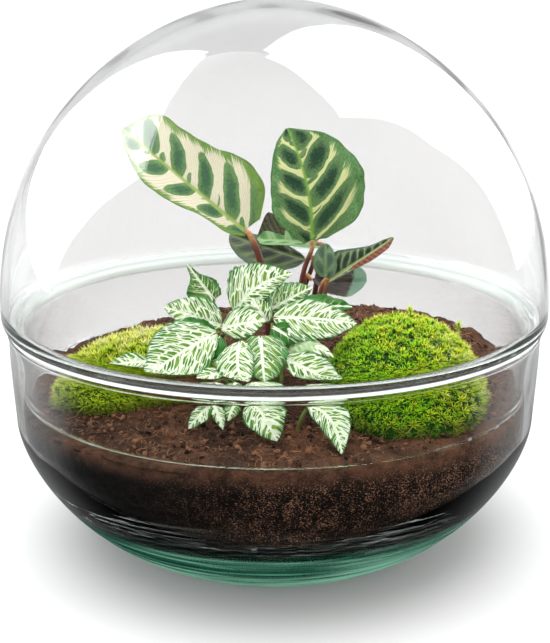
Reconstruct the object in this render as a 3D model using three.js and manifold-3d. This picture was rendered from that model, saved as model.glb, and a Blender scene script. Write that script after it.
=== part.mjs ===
// A closed glass terrarium: a round bowl of soil, planted with a peacock plant, a nerve plant and two
// cushions of moss, under a glass dome whose neck drops inside the bowl and whose shoulder rests on its lip.
// Millimetres, +Z up. The origin is the middle of the flat foot, on the surface that the bowl stands on.
import * as THREE from 'three';
import { mergeVertices } from 'three/addons/utils/BufferGeometryUtils.js';
import Module from 'manifold-3d';

const wasm = await Module();
wasm.setup();

// ---- Driving dimensions -------------------------------------------------------------------------------

const SECTORS = 40; // facets round everything that is turned
const CURVE_STEPS = 8; // facets along each curved wall
const GAP = 0.3; // between pieces that touch

const LIP_Z = 111.6; // height of the bowl's rim
const LIP_RADIUS = 122; // outside of the bowl at its rim
const WAIST_RADIUS = 120.1; // outside of the bowl where its wall starts to round in
const WAIST_DEPTH = 43.4; // below the rim
const FOOT_RADIUS = 40.9; // flat underside
const GLASS_WALL = 3;
const FLOOR_Z = 10; // top of the thick glass base
const FLOOR_RADIUS = 34;
const BOWL_POWERS = [1.81, 1.52]; // squareness of the bowl's curve across and down

const DOME_RADIUS = 125; // widest outside of the dome
const DOME_WIDEST_Z = LIP_Z + 6.2;
const DOME_RISE = 137.9; // from its widest place to its top
const DOME_CROWN = 4; // glass thickness at the top
const DOME_POWERS = [1.84, 2.13];
const SHOULDER_Z = LIP_Z + 1.1; // underside of the shoulder that rests on the lip
const NECK_RADIUS = 116; // outside of the neck inside the bowl
const NECK_WALL = 2.5;
const NECK_DEPTH = 30.3; // from the rim down to the neck's lower edge

const SOIL_Z = 82.5; // mean height of the soil's surface
const SOIL_TILT = 3.2; // rise per 100 mm towards the back right
const HOLE_DEPTH = 11; // of a stem's hole in the soil

const FITTONIA_BLADE = 0.8; // leaf thicknesses
const CALATHEA_BLADE = 0.9;
const TEETH_DEPTH = 0.045; // of a leaf's half width
const STEM_RADIUS = 1.1; // nerve plant, where it leaves the soil
const PETIOLE_RADIUS = 0.75;
const STALK_RADIUS = 1.5; // peacock plant, where it leaves the soil
const NECK_OF_STALK_RADIUS = 0.9; // peacock plant, under the blade
const STALK_RISE = 2.5; // upright start of a stem above the soil
const STEM_CLEARANCE = 0.6; // between a stem and the wall of its hole

// ---- Materials ----------------------------------------------------------------------------------------

const finish = (color, roughness, extra = {}) =>
  new THREE.MeshStandardMaterial({ color, roughness, metalness: 0, ...extra });
const MATERIALS = {
  glass: () => finish(0xdfeeea, 0.03, { transparent: true, opacity: 0.3 }),
  soil: () => finish(0x3b241a, 0.95),
  moss: () => finish(0x6f9a1e, 0.9),
  fittonia: () => finish(0xa9c98c, 0.55),
  calathea: () => finish(0x5f8f4c, 0.5),
  stalk: () => finish(0x8f4a35, 0.5),
};

// ---- Closed meshes and solids -------------------------------------------------------------------------

function geometryFrom(points, triangles) {
  const geometry = new THREE.BufferGeometry();
  geometry.setAttribute('position', new THREE.BufferAttribute(new Float32Array(points.flat()), 3));
  geometry.setIndex(triangles.flat());
  return geometry;
}

function solidFrom(points, triangles) {
  const merged = mergeVertices(geometryFrom(points, triangles), 1e-4);
  const index = Array.from(merged.index.array);
  const kept = [];
  for (let i = 0; i < index.length; i += 3) {
    const [a, b, c] = index.slice(i, i + 3);
    if (a !== b && b !== c && c !== a) kept.push(a, b, c);
  }
  const vertProperties = Float32Array.from(merged.attributes.position.array);
  return new wasm.Manifold(new wasm.Mesh({ numProp: 3, vertProperties, triVerts: Uint32Array.from(kept) }));
}

function geometryOf(solid) {
  const { vertProperties, triVerts } = solid.getMesh();
  const geometry = new THREE.BufferGeometry();
  geometry.setAttribute('position', new THREE.BufferAttribute(Float32Array.from(vertProperties), 3));
  geometry.setIndex(Array.from(triVerts));
  return geometry;
}

const fuse = (solids) => solids.reduce((whole, next) => whole.add(next));

// Turns a profile of [radius, z] pairs about the upright axis; it starts and ends on the axis.
function turned(profile) {
  const points = profile.map(([radius, z]) => new THREE.Vector2(radius, z));
  return new THREE.LatheGeometry(points, SECTORS).rotateX(Math.PI / 2);
}

// A closed body of columns round an axis. profile(angle) lists [radius, z] from the bottom of the axis,
// out and round to the top of the axis, with the same number of pairs at every angle.
function polarSolid(sectors, profile, place = (x, y, z) => [x, y, z]) {
  const points = [];
  const triangles = [];
  const rings = profile(0).length;
  for (let i = 0; i < sectors; i++) {
    const angle = (i * 2 * Math.PI) / sectors;
    for (const [radius, z] of profile(angle)) {
      points.push(place(radius * Math.cos(angle), radius * Math.sin(angle), z));
    }
  }
  for (let i = 0; i < sectors; i++) {
    const here = i * rings;
    const next = ((i + 1) % sectors) * rings;
    for (let j = 0; j < rings - 1; j++) {
      triangles.push([here + j, next + j, next + j + 1], [here + j, next + j + 1, here + j + 1]);
    }
  }
  return solidFrom(points, triangles);
}

// A round rod along a smooth curve through the given points, tapering from one radius to the other.
function rod(path, startRadius, endRadius, sides = 6, steps = 6) {
  const curve = new THREE.CatmullRomCurve3(path.map((p) => new THREE.Vector3(...p)));
  const points = [];
  const triangles = [];
  const across = new THREE.Vector3(1, 0, 0);
  for (let i = 0; i <= steps; i++) {
    const centre = curve.getPoint(i / steps);
    const along = curve.getTangent(i / steps);
    const u = across.clone().addScaledVector(along, -across.dot(along));
    if (u.length() < 0.3) u.set(0, 1, 0).addScaledVector(along, -along.y);
    u.normalize();
    const v = new THREE.Vector3().crossVectors(along, u);
    const radius = startRadius + ((endRadius - startRadius) * i) / steps;
    for (let k = 0; k < sides; k++) {
      const angle = (k * 2 * Math.PI) / sides;
      const p = centre.clone();
      p.addScaledVector(u, radius * Math.cos(angle)).addScaledVector(v, radius * Math.sin(angle));
      points.push(p.toArray());
    }
  }
  for (let i = 0; i < steps; i++) {
    for (let k = 0; k < sides; k++) {
      const a = i * sides + k;
      const b = i * sides + ((k + 1) % sides);
      triangles.push([a, b, b + sides], [a, b + sides, a + sides]);
    }
  }
  const last = steps * sides;
  for (let k = 1; k < sides - 1; k++) {
    triangles.push([0, k + 1, k], [last, last + k, last + k + 1]);
  }
  return solidFrom(points, triangles);
}

// ---- Glass --------------------------------------------------------------------------------------------

// Points on a quarter of a superellipse, from its widest place to its end on the axis side.
function quarterCurve(width, height, [acrossPower, alongPower]) {
  const points = [];
  for (let i = 0; i <= CURVE_STEPS; i++) {
    const angle = (i / CURVE_STEPS) * (Math.PI / 2);
    points.push([
      width * Math.max(0, Math.cos(angle)) ** (2 / acrossPower),
      height * Math.sin(angle) ** (2 / alongPower),
    ]);
  }
  return points;
}

// The bowl's curve below its waist, from the flat out to the waist, moved inwards by inset.
function bowlCurve(flatRadius, flatZ, inset) {
  const waistZ = LIP_Z - WAIST_DEPTH;
  return quarterCurve(WAIST_RADIUS - inset - flatRadius, waistZ - flatZ, BOWL_POWERS)
    .map(([radius, depth]) => [flatRadius + radius, waistZ - depth])
    .reverse();
}

function bowlGeometry() {
  const outside = bowlCurve(FOOT_RADIUS, 0, 0);
  const inside = bowlCurve(FLOOR_RADIUS, FLOOR_Z, GLASS_WALL);
  const innerRim = LIP_RADIUS - GLASS_WALL;
  return turned([
    [0, 0],
    ...outside,
    [LIP_RADIUS - 0.4, LIP_Z - 18],
    [LIP_RADIUS, LIP_Z - 2.2],
    [LIP_RADIUS + 0.8, LIP_Z - 0.9],
    [LIP_RADIUS + 0.4, LIP_Z + 0.4],
    [LIP_RADIUS - 1.3, LIP_Z + 0.8],
    [innerRim, LIP_Z - 0.6],
    [innerRim - 0.4, LIP_Z - 18],
    ...inside.reverse(),
    [0, FLOOR_Z],
  ]);
}

function domeGeometry() {
  const innerNeck = NECK_RADIUS - NECK_WALL;
  const neckEdge = LIP_Z - NECK_DEPTH;
  const outside = quarterCurve(DOME_RADIUS, DOME_RISE, DOME_POWERS);
  const inside = quarterCurve(DOME_RADIUS - GLASS_WALL, DOME_RISE - DOME_CROWN, DOME_POWERS);
  const raise = ([radius, height]) => [radius, DOME_WIDEST_Z + height];
  return turned([
    ...inside.map(raise).reverse(),
    [DOME_RADIUS - 4.5, SHOULDER_Z + 3.6],
    [innerNeck + 2, SHOULDER_Z + 1.6],
    [innerNeck, SHOULDER_Z - 1.5],
    [innerNeck, neckEdge + 0.8],
    [innerNeck + NECK_WALL / 2, neckEdge],
    [NECK_RADIUS, neckEdge + 0.8],
    [NECK_RADIUS, SHOULDER_Z - 2.6],
    [NECK_RADIUS + 1.4, SHOULDER_Z - 0.2],
    [DOME_RADIUS - 4.2, SHOULDER_Z],
    [DOME_RADIUS - 1.6, SHOULDER_Z + 0.9],
    [DOME_RADIUS - 0.5, SHOULDER_Z + 2.6],
    ...outside.map(raise),
  ]);
}

// ---- Soil ---------------------------------------------------------------------------------------------

const hill = (x, y, centreX, centreY, spread) =>
  Math.exp(-((x - centreX) ** 2 + (y - centreY) ** 2) / (2 * spread ** 2));

function soilHeight(x, y) {
  const tilt = (SOIL_TILT * (0.75 * x + 0.66 * y)) / 100;
  const bank = 5 * hill(x, y, 72, 72, 38) - 2.5 * hill(x, y, -100, 30, 30);
  const lumps = 0.7 * Math.sin(x / 9 + 1) * Math.cos(y / 11) + 0.4 * Math.sin(x / 4.7 - y / 5.9);
  return SOIL_Z + tilt + bank + lumps;
}

function soilBody() {
  const wallRadius = WAIST_RADIUS - GLASS_WALL - GAP;
  const neckRadius = NECK_RADIUS - NECK_WALL - GAP;
  const underNeck = LIP_Z - NECK_DEPTH - GAP;
  const side = bowlCurve(FLOOR_RADIUS - GAP, FLOOR_Z + GAP, GLASS_WALL + GAP);
  const rings = [106, 94, 81, 66, 50, 34, 17];
  return polarSolid(SECTORS, (angle) => {
    const at = (radius) => soilHeight(radius * Math.cos(angle), radius * Math.sin(angle));
    const ledge = Math.min(underNeck, at(neckRadius) - GAP);
    return [
      [0, FLOOR_Z + GAP],
      ...side,
      [wallRadius, ledge],
      [neckRadius, ledge],
      [neckRadius, at(neckRadius)],
      ...rings.map((radius) => [radius, at(radius)]),
      [0, at(0)],
    ];
  });
}

// A stem's path starts upright, one millimetre above the bottom of its hole in the soil.
const stemPath = ([x, y], ...rest) => {
  const z = soilHeight(x, y);
  return [[x, y, z - HOLE_DEPTH + 1], [x, y, z - HOLE_DEPTH / 3], [x, y, z + STALK_RISE], ...rest];
};

function holeAt([x, y], stemRadius) {
  const z = soilHeight(x, y);
  const sides = 6;
  const radius = (stemRadius + STEM_CLEARANCE) / Math.cos(Math.PI / sides);
  return rod([[x, y, z - HOLE_DEPTH], [x, y, z + 4]], radius, radius, sides, 1);
}

// ---- Leaves -------------------------------------------------------------------------------------------

const STATIONS = [0, 0.1, 0.3, 0.5, 0.7, 0.9, 1]; // where a listed half width is given, base to tip

// Smooth curve through values at the stations.
function between(values, t) {
  const last = STATIONS.length - 1;
  const slope = (i) => {
    const [a, b] = [Math.max(i - 1, 0), Math.min(i + 1, last)];
    return (values[b] - values[a]) / (STATIONS[b] - STATIONS[a]);
  };
  let k = 0;
  while (k < last - 1 && t >= STATIONS[k + 1]) k++;
  const span = STATIONS[k + 1] - STATIONS[k];
  const s = (t - STATIONS[k]) / span;
  return (
    (2 * s ** 3 - 3 * s ** 2 + 1) * values[k] +
    (s ** 3 - 2 * s ** 2 + s) * span * slope(k) +
    (-2 * s ** 3 + 3 * s ** 2) * values[k + 1] +
    (s ** 3 - s ** 2) * span * slope(k + 1)
  );
}

const LEAF = {
  arch: 0.08, // rise of the midrib's middle, as a share of the length
  fold: [0.1, 0.1], // rise of the left and right margins, per mm across
  bend: 0, // sideways bow of the midrib, as a share of the length
  widest: 0.42, // where a plain leaf is widest
  full: 0.8, // how blunt a plain leaf is
  lobe: 0, // how far the base runs back past the stalk, as a share of the length
};

// A point on a leaf: t runs from base to tip, q from the left margin, -1, to the right margin, 1.
function leafFrame(spec) {
  const leaf = { ...LEAF, ...spec };
  const base = new THREE.Vector3(...leaf.base);
  const along = new THREE.Vector3(...leaf.tip).sub(base);
  const length = along.length();
  along.normalize();
  const up = new THREE.Vector3(...leaf.face);
  up.addScaledVector(along, -up.dot(along)).normalize();
  const side = new THREE.Vector3().crossVectors(along, up);
  const power = Math.log(0.5) / Math.log(leaf.widest);
  const halfWidth = (wide, t) =>
    Array.isArray(wide)
      ? between(wide, t)
      : wide * (0.03 + 0.97 * Math.max(0, Math.sin(Math.PI * t ** power)) ** leaf.full);
  const point = (t, q, margin = 1) => {
    const hump = 4 * t * (1 - t);
    const across = halfWidth(q < 0 ? leaf.left : leaf.right, t) * q * margin;
    const fold = leaf.fold[q < 0 ? 0 : 1] * Math.abs(across) * Math.abs(q) ** 0.3;
    return base
      .clone()
      .addScaledVector(along, t * length - leaf.lobe * length * (1 - t) ** 5 * Math.abs(q) ** 1.5)
      .addScaledVector(up, length * leaf.arch * hump + fold)
      .addScaledVector(side, length * leaf.bend * hump + across);
  };
  return { point, up };
}

// A closed blade of even thickness, with both faces split into triangles alike.
function blade(spec, thickness, steps, strips, teeth) {
  const { point, up } = leafFrame(spec);
  const columns = strips + 1;
  const rows = steps + 1;
  const points = [];
  for (const face of [0.5, -0.5]) {
    for (let i = 0; i < rows; i++) {
      const cut = teeth && i > 0 && i < steps ? 1 + (i % 2 ? teeth : -teeth) : 1;
      for (let j = 0; j < columns; j++) {
        const q = (2 * j) / strips - 1;
        const p = point(i / steps, q, Math.abs(q) === 1 ? cut : 1);
        points.push(p.addScaledVector(up, face * thickness).toArray());
      }
    }
  }
  const under = rows * columns;
  const triangles = [];
  for (let i = 0; i < steps; i++) {
    for (let j = 0; j < strips; j++) {
      const [a, b] = [i * columns + j, (i + 1) * columns + j];
      const split = j < strips / 2 ? [[a, b, b + 1], [a, b + 1, a + 1]] : [[a, b, a + 1], [b, b + 1, a + 1]];
      for (const [p, q, r] of split) triangles.push([p, r, q], [p + under, q + under, r + under]);
    }
  }
  const rim = [];
  for (let i = 0; i < rows; i++) rim.push(i * columns);
  for (let j = 1; j < columns; j++) rim.push(steps * columns + j);
  for (let i = steps - 1; i >= 0; i--) rim.push(i * columns + strips);
  for (let j = strips - 1; j > 0; j--) rim.push(j);
  rim.forEach((a, k) => {
    const b = rim[(k + 1) % rim.length];
    triangles.push([a, b, b + under], [a, b + under, a + under]);
  });
  return solidFrom(points, triangles);
}

// ---- Nerve plant (Fittonia): leafy stems, each with its leaves on short stalks --------------------------

const TO_VIEWER = [0, -1, 0.45];
const FITTONIA = [
  {
    name: 'fittonia_stem_left',
    root: [-18, -44],
    tip: [-22, -49, 116],
    leaves: [
      {
        base: [-23, -44, 119], tip: [-48, -40, 126.5], face: [-0.25, -1, 0.55],
        left: 6.5, right: 9.5, widest: 0.36,
      },
      {
        base: [-23, -50, 119.5], tip: [-4, -53, 124], face: [0.1, -1, 0.7],
        left: 7.5, right: 7, widest: 0.5,
      },
      {
        base: [-24.5, -56, 119.5], tip: [-55, -64, 101.5], face: [-0.25, -1, 0.55],
        left: 13, right: 14, widest: 0.45,
      },
      { base: [-25, -48, 117.5], tip: [-44.5, -51, 121.5], face: [-0.2, -1, 0.8], left: 4, right: 4.5 },
      { base: [-23.5, -55, 118], tip: [-30, -62, 108], face: [-0.3, -1, 0.4], left: 6, right: 7 },
    ],
  },
  {
    name: 'fittonia_stem_back_left',
    root: [-24, -28],
    tip: [-28, -25, 119],
    leaves: [
      {
        base: [-27, -24, 125.5], tip: [-38.7, -22, 141.4], face: [0.1, -1, 0.3],
        left: [3, 6, 8.5, 7.5, 2.8, 1.2, 0.4], right: [4, 5.4, 6, 4.4, 1.7, 1, 0.4], arch: -0.03,
      },
      { base: [-29, -20, 115], tip: [-44, 4, 104], face: [-0.4, 0.6, 0.9], left: 9, right: 9 },
    ],
  },
  {
    name: 'fittonia_stem_top',
    root: [-11, -34],
    tip: [-16, -38, 120],
    leaves: [
      {
        base: [-17.5, -40, 124], tip: [7.5, -34, 140], face: [0.1, -1, 0.45],
        left: 12.5, right: 7, bend: -0.11, widest: 0.34,
      },
      { base: [-12, -28, 116], tip: [-14, 2, 103], face: [-0.1, 0.7, 0.9], left: 10, right: 10 },
    ],
  },
  {
    name: 'fittonia_stem_right',
    root: [1, -38],
    tip: [-1, -41, 119],
    leaves: [
      {
        base: [-3, -34, 123], tip: [17, -21, 130.5], face: [0, -1, 0.5],
        left: 8, right: 4.5, fold: [-0.1, -0.1],
      },
      { base: [-0.5, -46, 123.5], tip: [35, -50, 122], face: [0.15, -1, 0.6], left: 8.5, right: 10.5 },
      { base: [7, -36, 123], tip: [34, -34, 125], face: [0.2, -0.8, 0.9], left: 6.5, right: 6 },
      { base: [-3, -46, 121.5], tip: [-9.5, -44, 131.5], face: [0, -1, 0.4], left: 5, right: 5 },
      { base: [-1, -50, 120.5], tip: [9.5, -54, 114.5], face: [0, -1, 0.7], left: 5, right: 6.5 },
      { base: [5, -30, 114], tip: [17, -3, 102], face: [0.3, 0.6, 0.9], left: 9, right: 9 },
    ],
  },
  {
    name: 'fittonia_stem_middle',
    root: [-9, -52],
    tip: [-10, -62, 113],
    leaves: [
      { base: [-14, -63, 118], tip: [-11, -78, 100], face: [-0.1, -1, 0.4], left: 7, right: 9.5, bend: 0.1 },
      {
        base: [-6, -61, 119.5], tip: [-4, -76, 99], face: [0.1, -1, 0.4],
        left: [5, 9, 11, 9.5, 6.5, 2.8, 0.4], right: [4, 6.5, 7.5, 6.8, 4.6, 2, 0.4],
      },
    ],
  },
  {
    name: 'fittonia_stem_low_right',
    root: [3, -54],
    tip: [3, -59, 107],
    leaves: [
      {
        base: [3.5, -62, 110.5], tip: [28.5, -70, 99], face: [0.15, -1, 0.5],
        left: 8, right: 7, widest: 0.5,
      },
      {
        base: [4.5, -50, 109], tip: [25, -60, 110], face: [0.2, -0.7, 1],
        left: 6, right: 4.5, arch: 0.25, fold: [-0.3, -0.3],
      },
    ],
  },
  {
    name: 'fittonia_stem_low_left',
    root: [-19, -62],
    tip: [-21, -70, 100],
    leaves: [
      { base: [-22.5, -71, 107], tip: [-32.5, -77, 102.5], face: [-0.2, -1, 0.5], left: 5, right: 4.5 },
      { base: [-26, -72, 94.5], tip: [-35.5, -77, 84.5], face: [-0.2, -1, 0.5], left: 4, right: 3.5 },
      { base: [-25, -76, 97], tip: [-21, -82, 86], face: TO_VIEWER, left: 3, right: 2.5 },
      { base: [-16, -76, 98], tip: [-19, -80, 89], face: TO_VIEWER, left: 3.5, right: 3.5 },
    ],
  },
  {
    name: 'fittonia_stem_front',
    root: [-6, -68],
    tip: [-8, -75, 97],
    leaves: [
      { base: [-9, -78, 99.5], tip: [1, -90, 84], face: TO_VIEWER, left: 10, right: 8 },
    ],
  },
  {
    name: 'fittonia_stem_far_left',
    root: [-32, -41],
    path: [[-36, -40, 96]],
    tip: [-50, -38, 101],
    leaves: [
      { base: [-55.5, -38, 101], tip: [-73.5, -38, 98.5], face: [-0.1, -1, 0.9], left: 4, right: 4.5 },
    ],
  },
  {
    name: 'fittonia_stem_front_right',
    root: [10, -74],
    tip: [13, -80, 95],
    leaves: [
      {
        base: [14, -84, 98.5], tip: [26.5, -102, 83], face: [0.1, -1, 0.5],
        left: 8, right: 5.5, bend: -0.12,
      },
    ],
  },
];

function leafyStem({ root, path = [], tip, leaves }) {
  const leafSteps = 10;
  const petioleTip = 0.55; // radius under the blade
  const sag = 0.8; // rise of a petiole's middle
  const parts = [rod(stemPath(root, ...path, tip), STEM_RADIUS, PETIOLE_RADIUS, 5, 5)];
  for (const leaf of leaves) {
    const { point } = leafFrame(leaf);
    const foot = new THREE.Vector3(...tip);
    const middle = foot.clone().lerp(point(0, 0), 0.55);
    middle.z += sag;
    const stalk = [foot, middle, point(0, 0), point(0.12, 0)].map((p) => p.toArray());
    parts.push(rod(stalk, PETIOLE_RADIUS, petioleTip, 4, 3));
    parts.push(blade(leaf, FITTONIA_BLADE, leafSteps, 2, TEETH_DEPTH));
  }
  return fuse(parts);
}

// ---- Peacock plant (Calathea): blades on upright stalks ------------------------------------------------

const CALATHEA = [
  {
    name: 'left',
    root: [-2, 28],
    path: [[-5.5, 25, 125.7]],
    foot: 2,
    blade: {
      base: [-14, 26, 146.5], tip: [-71, 20, 196.5], face: [-0.15, -1, 0.25],
      left: [2, 6, 7.6, 11.4, 12.4, 6.2, 0.5], right: [9, 22, 25.5, 21.5, 18, 15.5, 0.5],
      arch: 0.02, fold: [0.5, 0.12], lobe: 0.02,
    },
  },
  {
    name: 'right',
    root: [8, 27],
    path: [[13.5, 26, 123.5]],
    blade: {
      base: [18, 28, 141.5], tip: [6, 22, 196], face: [0.05, -1, 0.1],
      left: [4, 10, 17.5, 18, 14.2, 8.2, 1], right: [7, 19.5, 26, 27, 23.7, 15.5, 1],
      arch: 0.03, fold: [0.25, 0.15], bend: 0.055, lobe: 0.01,
    },
  },
  {
    name: 'behind',
    root: [4, 41],
    blade: {
      base: [15.1, 39, 129.2], tip: [-22.1, 47, 140.3], face: [0.2, -0.9, 1],
      left: 15, right: 5.5, arch: 0, widest: 0.5, full: 0.55,
    },
  },
  {
    name: 'upper_behind',
    root: [17, 42],
    path: [[22, 39, 126]],
    blade: {
      base: [20, 36, 138.2], tip: [-8.5, 42, 138.8], face: [0, -0.35, 1],
      left: [3.5, 5, 5, 5, 5, 4.5, 0.5], right: [3.5, 5, 4.5, 5, 8, 10, 2],
      arch: 0.02, fold: [0, 0.9], lobe: 0.15,
    },
  },
  {
    name: 'low_right',
    root: [16, 22],
    blade: {
      base: [25.5, 20, 122.8], tip: [55.3, 8, 146.9], face: [-0.35, -1, 0.5],
      left: [5, 11, 9.5, 6.5, 3, 1.6, 0.4], right: [1.5, 1.6, 2.2, 3, 3.7, 3, 0.5],
      arch: 0, fold: [0.2, 0.2],
    },
  },
  {
    name: 'rolled',
    root: [19, 13],
    blade: {
      base: [24.4, 17, 125.5], tip: [24.2, 14, 143], face: [-0.3, -1, 0.3],
      left: 5.8, right: 5.8, arch: 0.05, full: 0.5,
    },
  },
  {
    name: 'cupped',
    root: [12.5, 33],
    blade: {
      base: [18.5, 29.5, 121.5], tip: [44, 20, 123], face: [0, -0.8, 1],
      left: 9, right: 11, arch: -0.04, fold: [0.2, 0.2], widest: 0.66, full: 0.5,
    },
  },
];

// The stalk stops short of its blade, in line with the midrib.
function stalkOf({ root, path = [], foot = STALK_RADIUS, blade: spec }) {
  const neckLength = 4;
  const { point } = leafFrame(spec);
  const base = point(0, 0);
  const back = base.clone().sub(point(0.05, 0)).normalize();
  const end = base.clone().addScaledVector(back, GAP + CALATHEA_BLADE);
  const neck = base.clone().addScaledVector(back, neckLength);
  neck.z -= 1;
  return rod(stemPath(root, ...path, neck.toArray(), end.toArray()), foot, NECK_OF_STALK_RADIUS, 6, 7);
}

// ---- Moss ---------------------------------------------------------------------------------------------

const MOSS = [
  { name: 'moss_cushion_right', centre: [57, -38], across: 35, along: 46, turn: 0, top: 118 },
  { name: 'moss_cushion_left', centre: [-63, -9], across: 44, along: 27, turn: 50, top: 102 },
];

function mossBody({ centre, across, along, turn, top }) {
  const sectors = 30;
  const rings = 9;
  const tuftHeight = 1.1;
  const roundness = 2.2; // power of the cushion's section
  const foot = SOIL_Z - 8; // below the soil, before it is trimmed to the soil
  const heel = THREE.MathUtils.degToRad(turn);
  const [cos, sin] = [Math.cos(heel), Math.sin(heel)];
  const spot = (x, y) => [
    centre[0] + x * across * cos - y * along * sin,
    centre[1] + x * across * sin + y * along * cos,
  ];
  const rest = soilHeight(...centre) - 3;
  const column = (angle) => {
    const profile = [[0, foot], [1, foot]];
    for (let i = rings; i >= 0; i--) {
      const share = i / rings;
      const [x, y] = spot(share * Math.cos(angle), share * Math.sin(angle));
      const tufts = Math.sin(x * 0.62) * Math.sin(y * 0.62 + 0.7) + 0.6 * Math.sin(x * 0.31 + y * 0.4);
      const dome = (top - rest) * Math.sqrt(1 - share ** roundness);
      profile.push([share, rest + dome + (share < 1 ? tuftHeight * tufts : 0)]);
    }
    return profile;
  };
  return polarSolid(sectors, column, (x, y, z) => [...spot(x, y), z]);
}

// ---- The whole terrarium ------------------------------------------------------------------------------

const terrarium = new THREE.Group();
const place = (name, geometry, material) => {
  const mesh = new THREE.Mesh(geometry, material);
  mesh.name = name;
  terrarium.add(mesh);
};

const soilWhole = soilBody();
const holes = [
  ...FITTONIA.map(({ root }) => holeAt(root, STEM_RADIUS)),
  ...CALATHEA.map(({ root, foot = STALK_RADIUS }) => holeAt(root, foot)),
];
const soil = holes.reduce((rest, hole) => rest.subtract(hole), soilWhole);
const soilAndGap = soilWhole.translate([0, 0, GAP]);

place('glass_bowl', bowlGeometry(), MATERIALS.glass());
place('glass_dome', domeGeometry(), MATERIALS.glass());
place('soil', geometryOf(soil), MATERIALS.soil());
for (const cushion of MOSS) {
  place(cushion.name, geometryOf(mossBody(cushion).subtract(soilAndGap)), MATERIALS.moss());
}
for (const stem of FITTONIA) place(stem.name, geometryOf(leafyStem(stem)), MATERIALS.fittonia());
for (const leaf of CALATHEA) {
  const leafSolid = blade(leaf.blade, CALATHEA_BLADE, 10, 4, 0);
  place(`calathea_leaf_${leaf.name}`, geometryOf(leafSolid), MATERIALS.calathea());
  place(`calathea_stalk_${leaf.name}`, geometryOf(stalkOf(leaf)), MATERIALS.stalk());
}

export default terrarium;
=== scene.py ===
"""A closed glass terrarium with a peacock plant, a nerve plant and two moss cushions on peat.

Shapes are worked out in millimetres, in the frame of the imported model: +Z up, the origin in the middle of the
bowl's foot. They are turned into metres where each mesh is made.
"""
import itertools
import math

import bpy
import numpy as np
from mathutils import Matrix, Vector, noise

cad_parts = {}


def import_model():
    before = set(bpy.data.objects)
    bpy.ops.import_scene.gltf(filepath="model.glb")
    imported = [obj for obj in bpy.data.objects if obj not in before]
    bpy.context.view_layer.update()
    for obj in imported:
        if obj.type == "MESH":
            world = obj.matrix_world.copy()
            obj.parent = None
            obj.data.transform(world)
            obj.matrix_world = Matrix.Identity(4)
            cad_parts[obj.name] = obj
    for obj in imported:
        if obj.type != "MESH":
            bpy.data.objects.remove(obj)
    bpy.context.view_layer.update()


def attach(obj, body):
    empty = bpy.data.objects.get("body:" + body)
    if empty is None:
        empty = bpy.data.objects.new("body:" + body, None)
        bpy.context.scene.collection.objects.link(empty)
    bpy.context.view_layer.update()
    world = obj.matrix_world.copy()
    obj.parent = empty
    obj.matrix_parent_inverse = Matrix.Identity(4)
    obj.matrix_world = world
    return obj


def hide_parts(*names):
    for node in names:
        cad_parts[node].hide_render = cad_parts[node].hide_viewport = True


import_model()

MM = 0.001
BODY = "root"

# ---- Driving dimensions, in millimetres ----

# The bowl: its lip, the waist below the lip, the flat foot and the floor inside.
LIP_Z = 111.6
LIP_RADIUS = 122.0
WAIST_RADIUS = 120.1
WAIST_DEPTH = 43.4
FOOT_RADIUS = 40.9
GLASS_WALL = 3.0
FLOOR_Z = 10.0
FLOOR_RADIUS = 34.0

# The dome: its shoulder rests on the lip and its neck drops inside the bowl.
DOME_RADIUS = 125.0
DOME_WIDEST_Z = LIP_Z + 6.2
DOME_RISE = 137.9
DOME_CROWN = 4.0
SHOULDER_Z = LIP_Z + 1.1
NECK_RADIUS = 116.0
NECK_WALL = 2.5
NECK_DEPTH = 30.3

# How square the two glass curves are, across and upwards; 2 and 2 would be an ellipse.
BOWL_POWERS = (1.81, 1.52)
DOME_POWERS = (1.84, 2.13)

# The peat: its mean height, its slope, and hills as height, centre x, centre y and spread.
GAP = 0.3
SOIL_Z = 82.5
SOIL_TILT = 3.2
SOIL_HILLS = [(5, 72, 72, 38), (-2.5, -100, 30, 30)]
HOLE_DEPTH = 11.0

GLASS_SECTORS = 256
SOIL_SECTORS = 460


# ---- Small helpers ----

SEED_SHIFT = (17.3, 5.1, 9.7)
KNOB_SIZE = 1.6


def unit(vector):
    """The same direction with a length of one, also for an array of vectors."""
    vector = np.asarray(vector, float)
    return vector / np.linalg.norm(vector, axis=-1, keepdims=True)


def around(count):
    """Angles that are evenly spread over a full turn."""
    return np.arange(count) * 2 * np.pi / count


def catmull_rom(points, steps):
    """Points along a smooth curve through the given ones, with so many steps in each stretch."""
    points = np.asarray(points, float)
    padded = np.vstack([2 * points[0] - points[1], points, 2 * points[-1] - points[-2]])
    curve = []
    for k in range(1, len(padded) - 2):
        before, start, end, after = padded[k - 1:k + 3]
        for s in np.arange(steps) / steps:
            curve.append(0.5 * (2 * start + (end - before) * s
                                + (2 * before - 5 * start + 4 * end - after) * s ** 2
                                + (3 * start - before - 3 * end + after) * s ** 3))
    curve.append(points[-1])
    return np.array(curve)


def noise_at(points, size, seed=0.0):
    """Smooth noise, from about -1 to 1, with features of the given size, for an array of points."""
    shift = Vector([seed * part for part in SEED_SHIFT])
    return np.array([noise.noise(Vector(p) / size + shift) for p in np.asarray(points, float)])


def link(name, data):
    """A new object in the scene that shows a mesh, a light or a camera."""
    thing = bpy.data.objects.new(name, data)
    bpy.context.scene.collection.objects.link(thing)
    return thing


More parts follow.
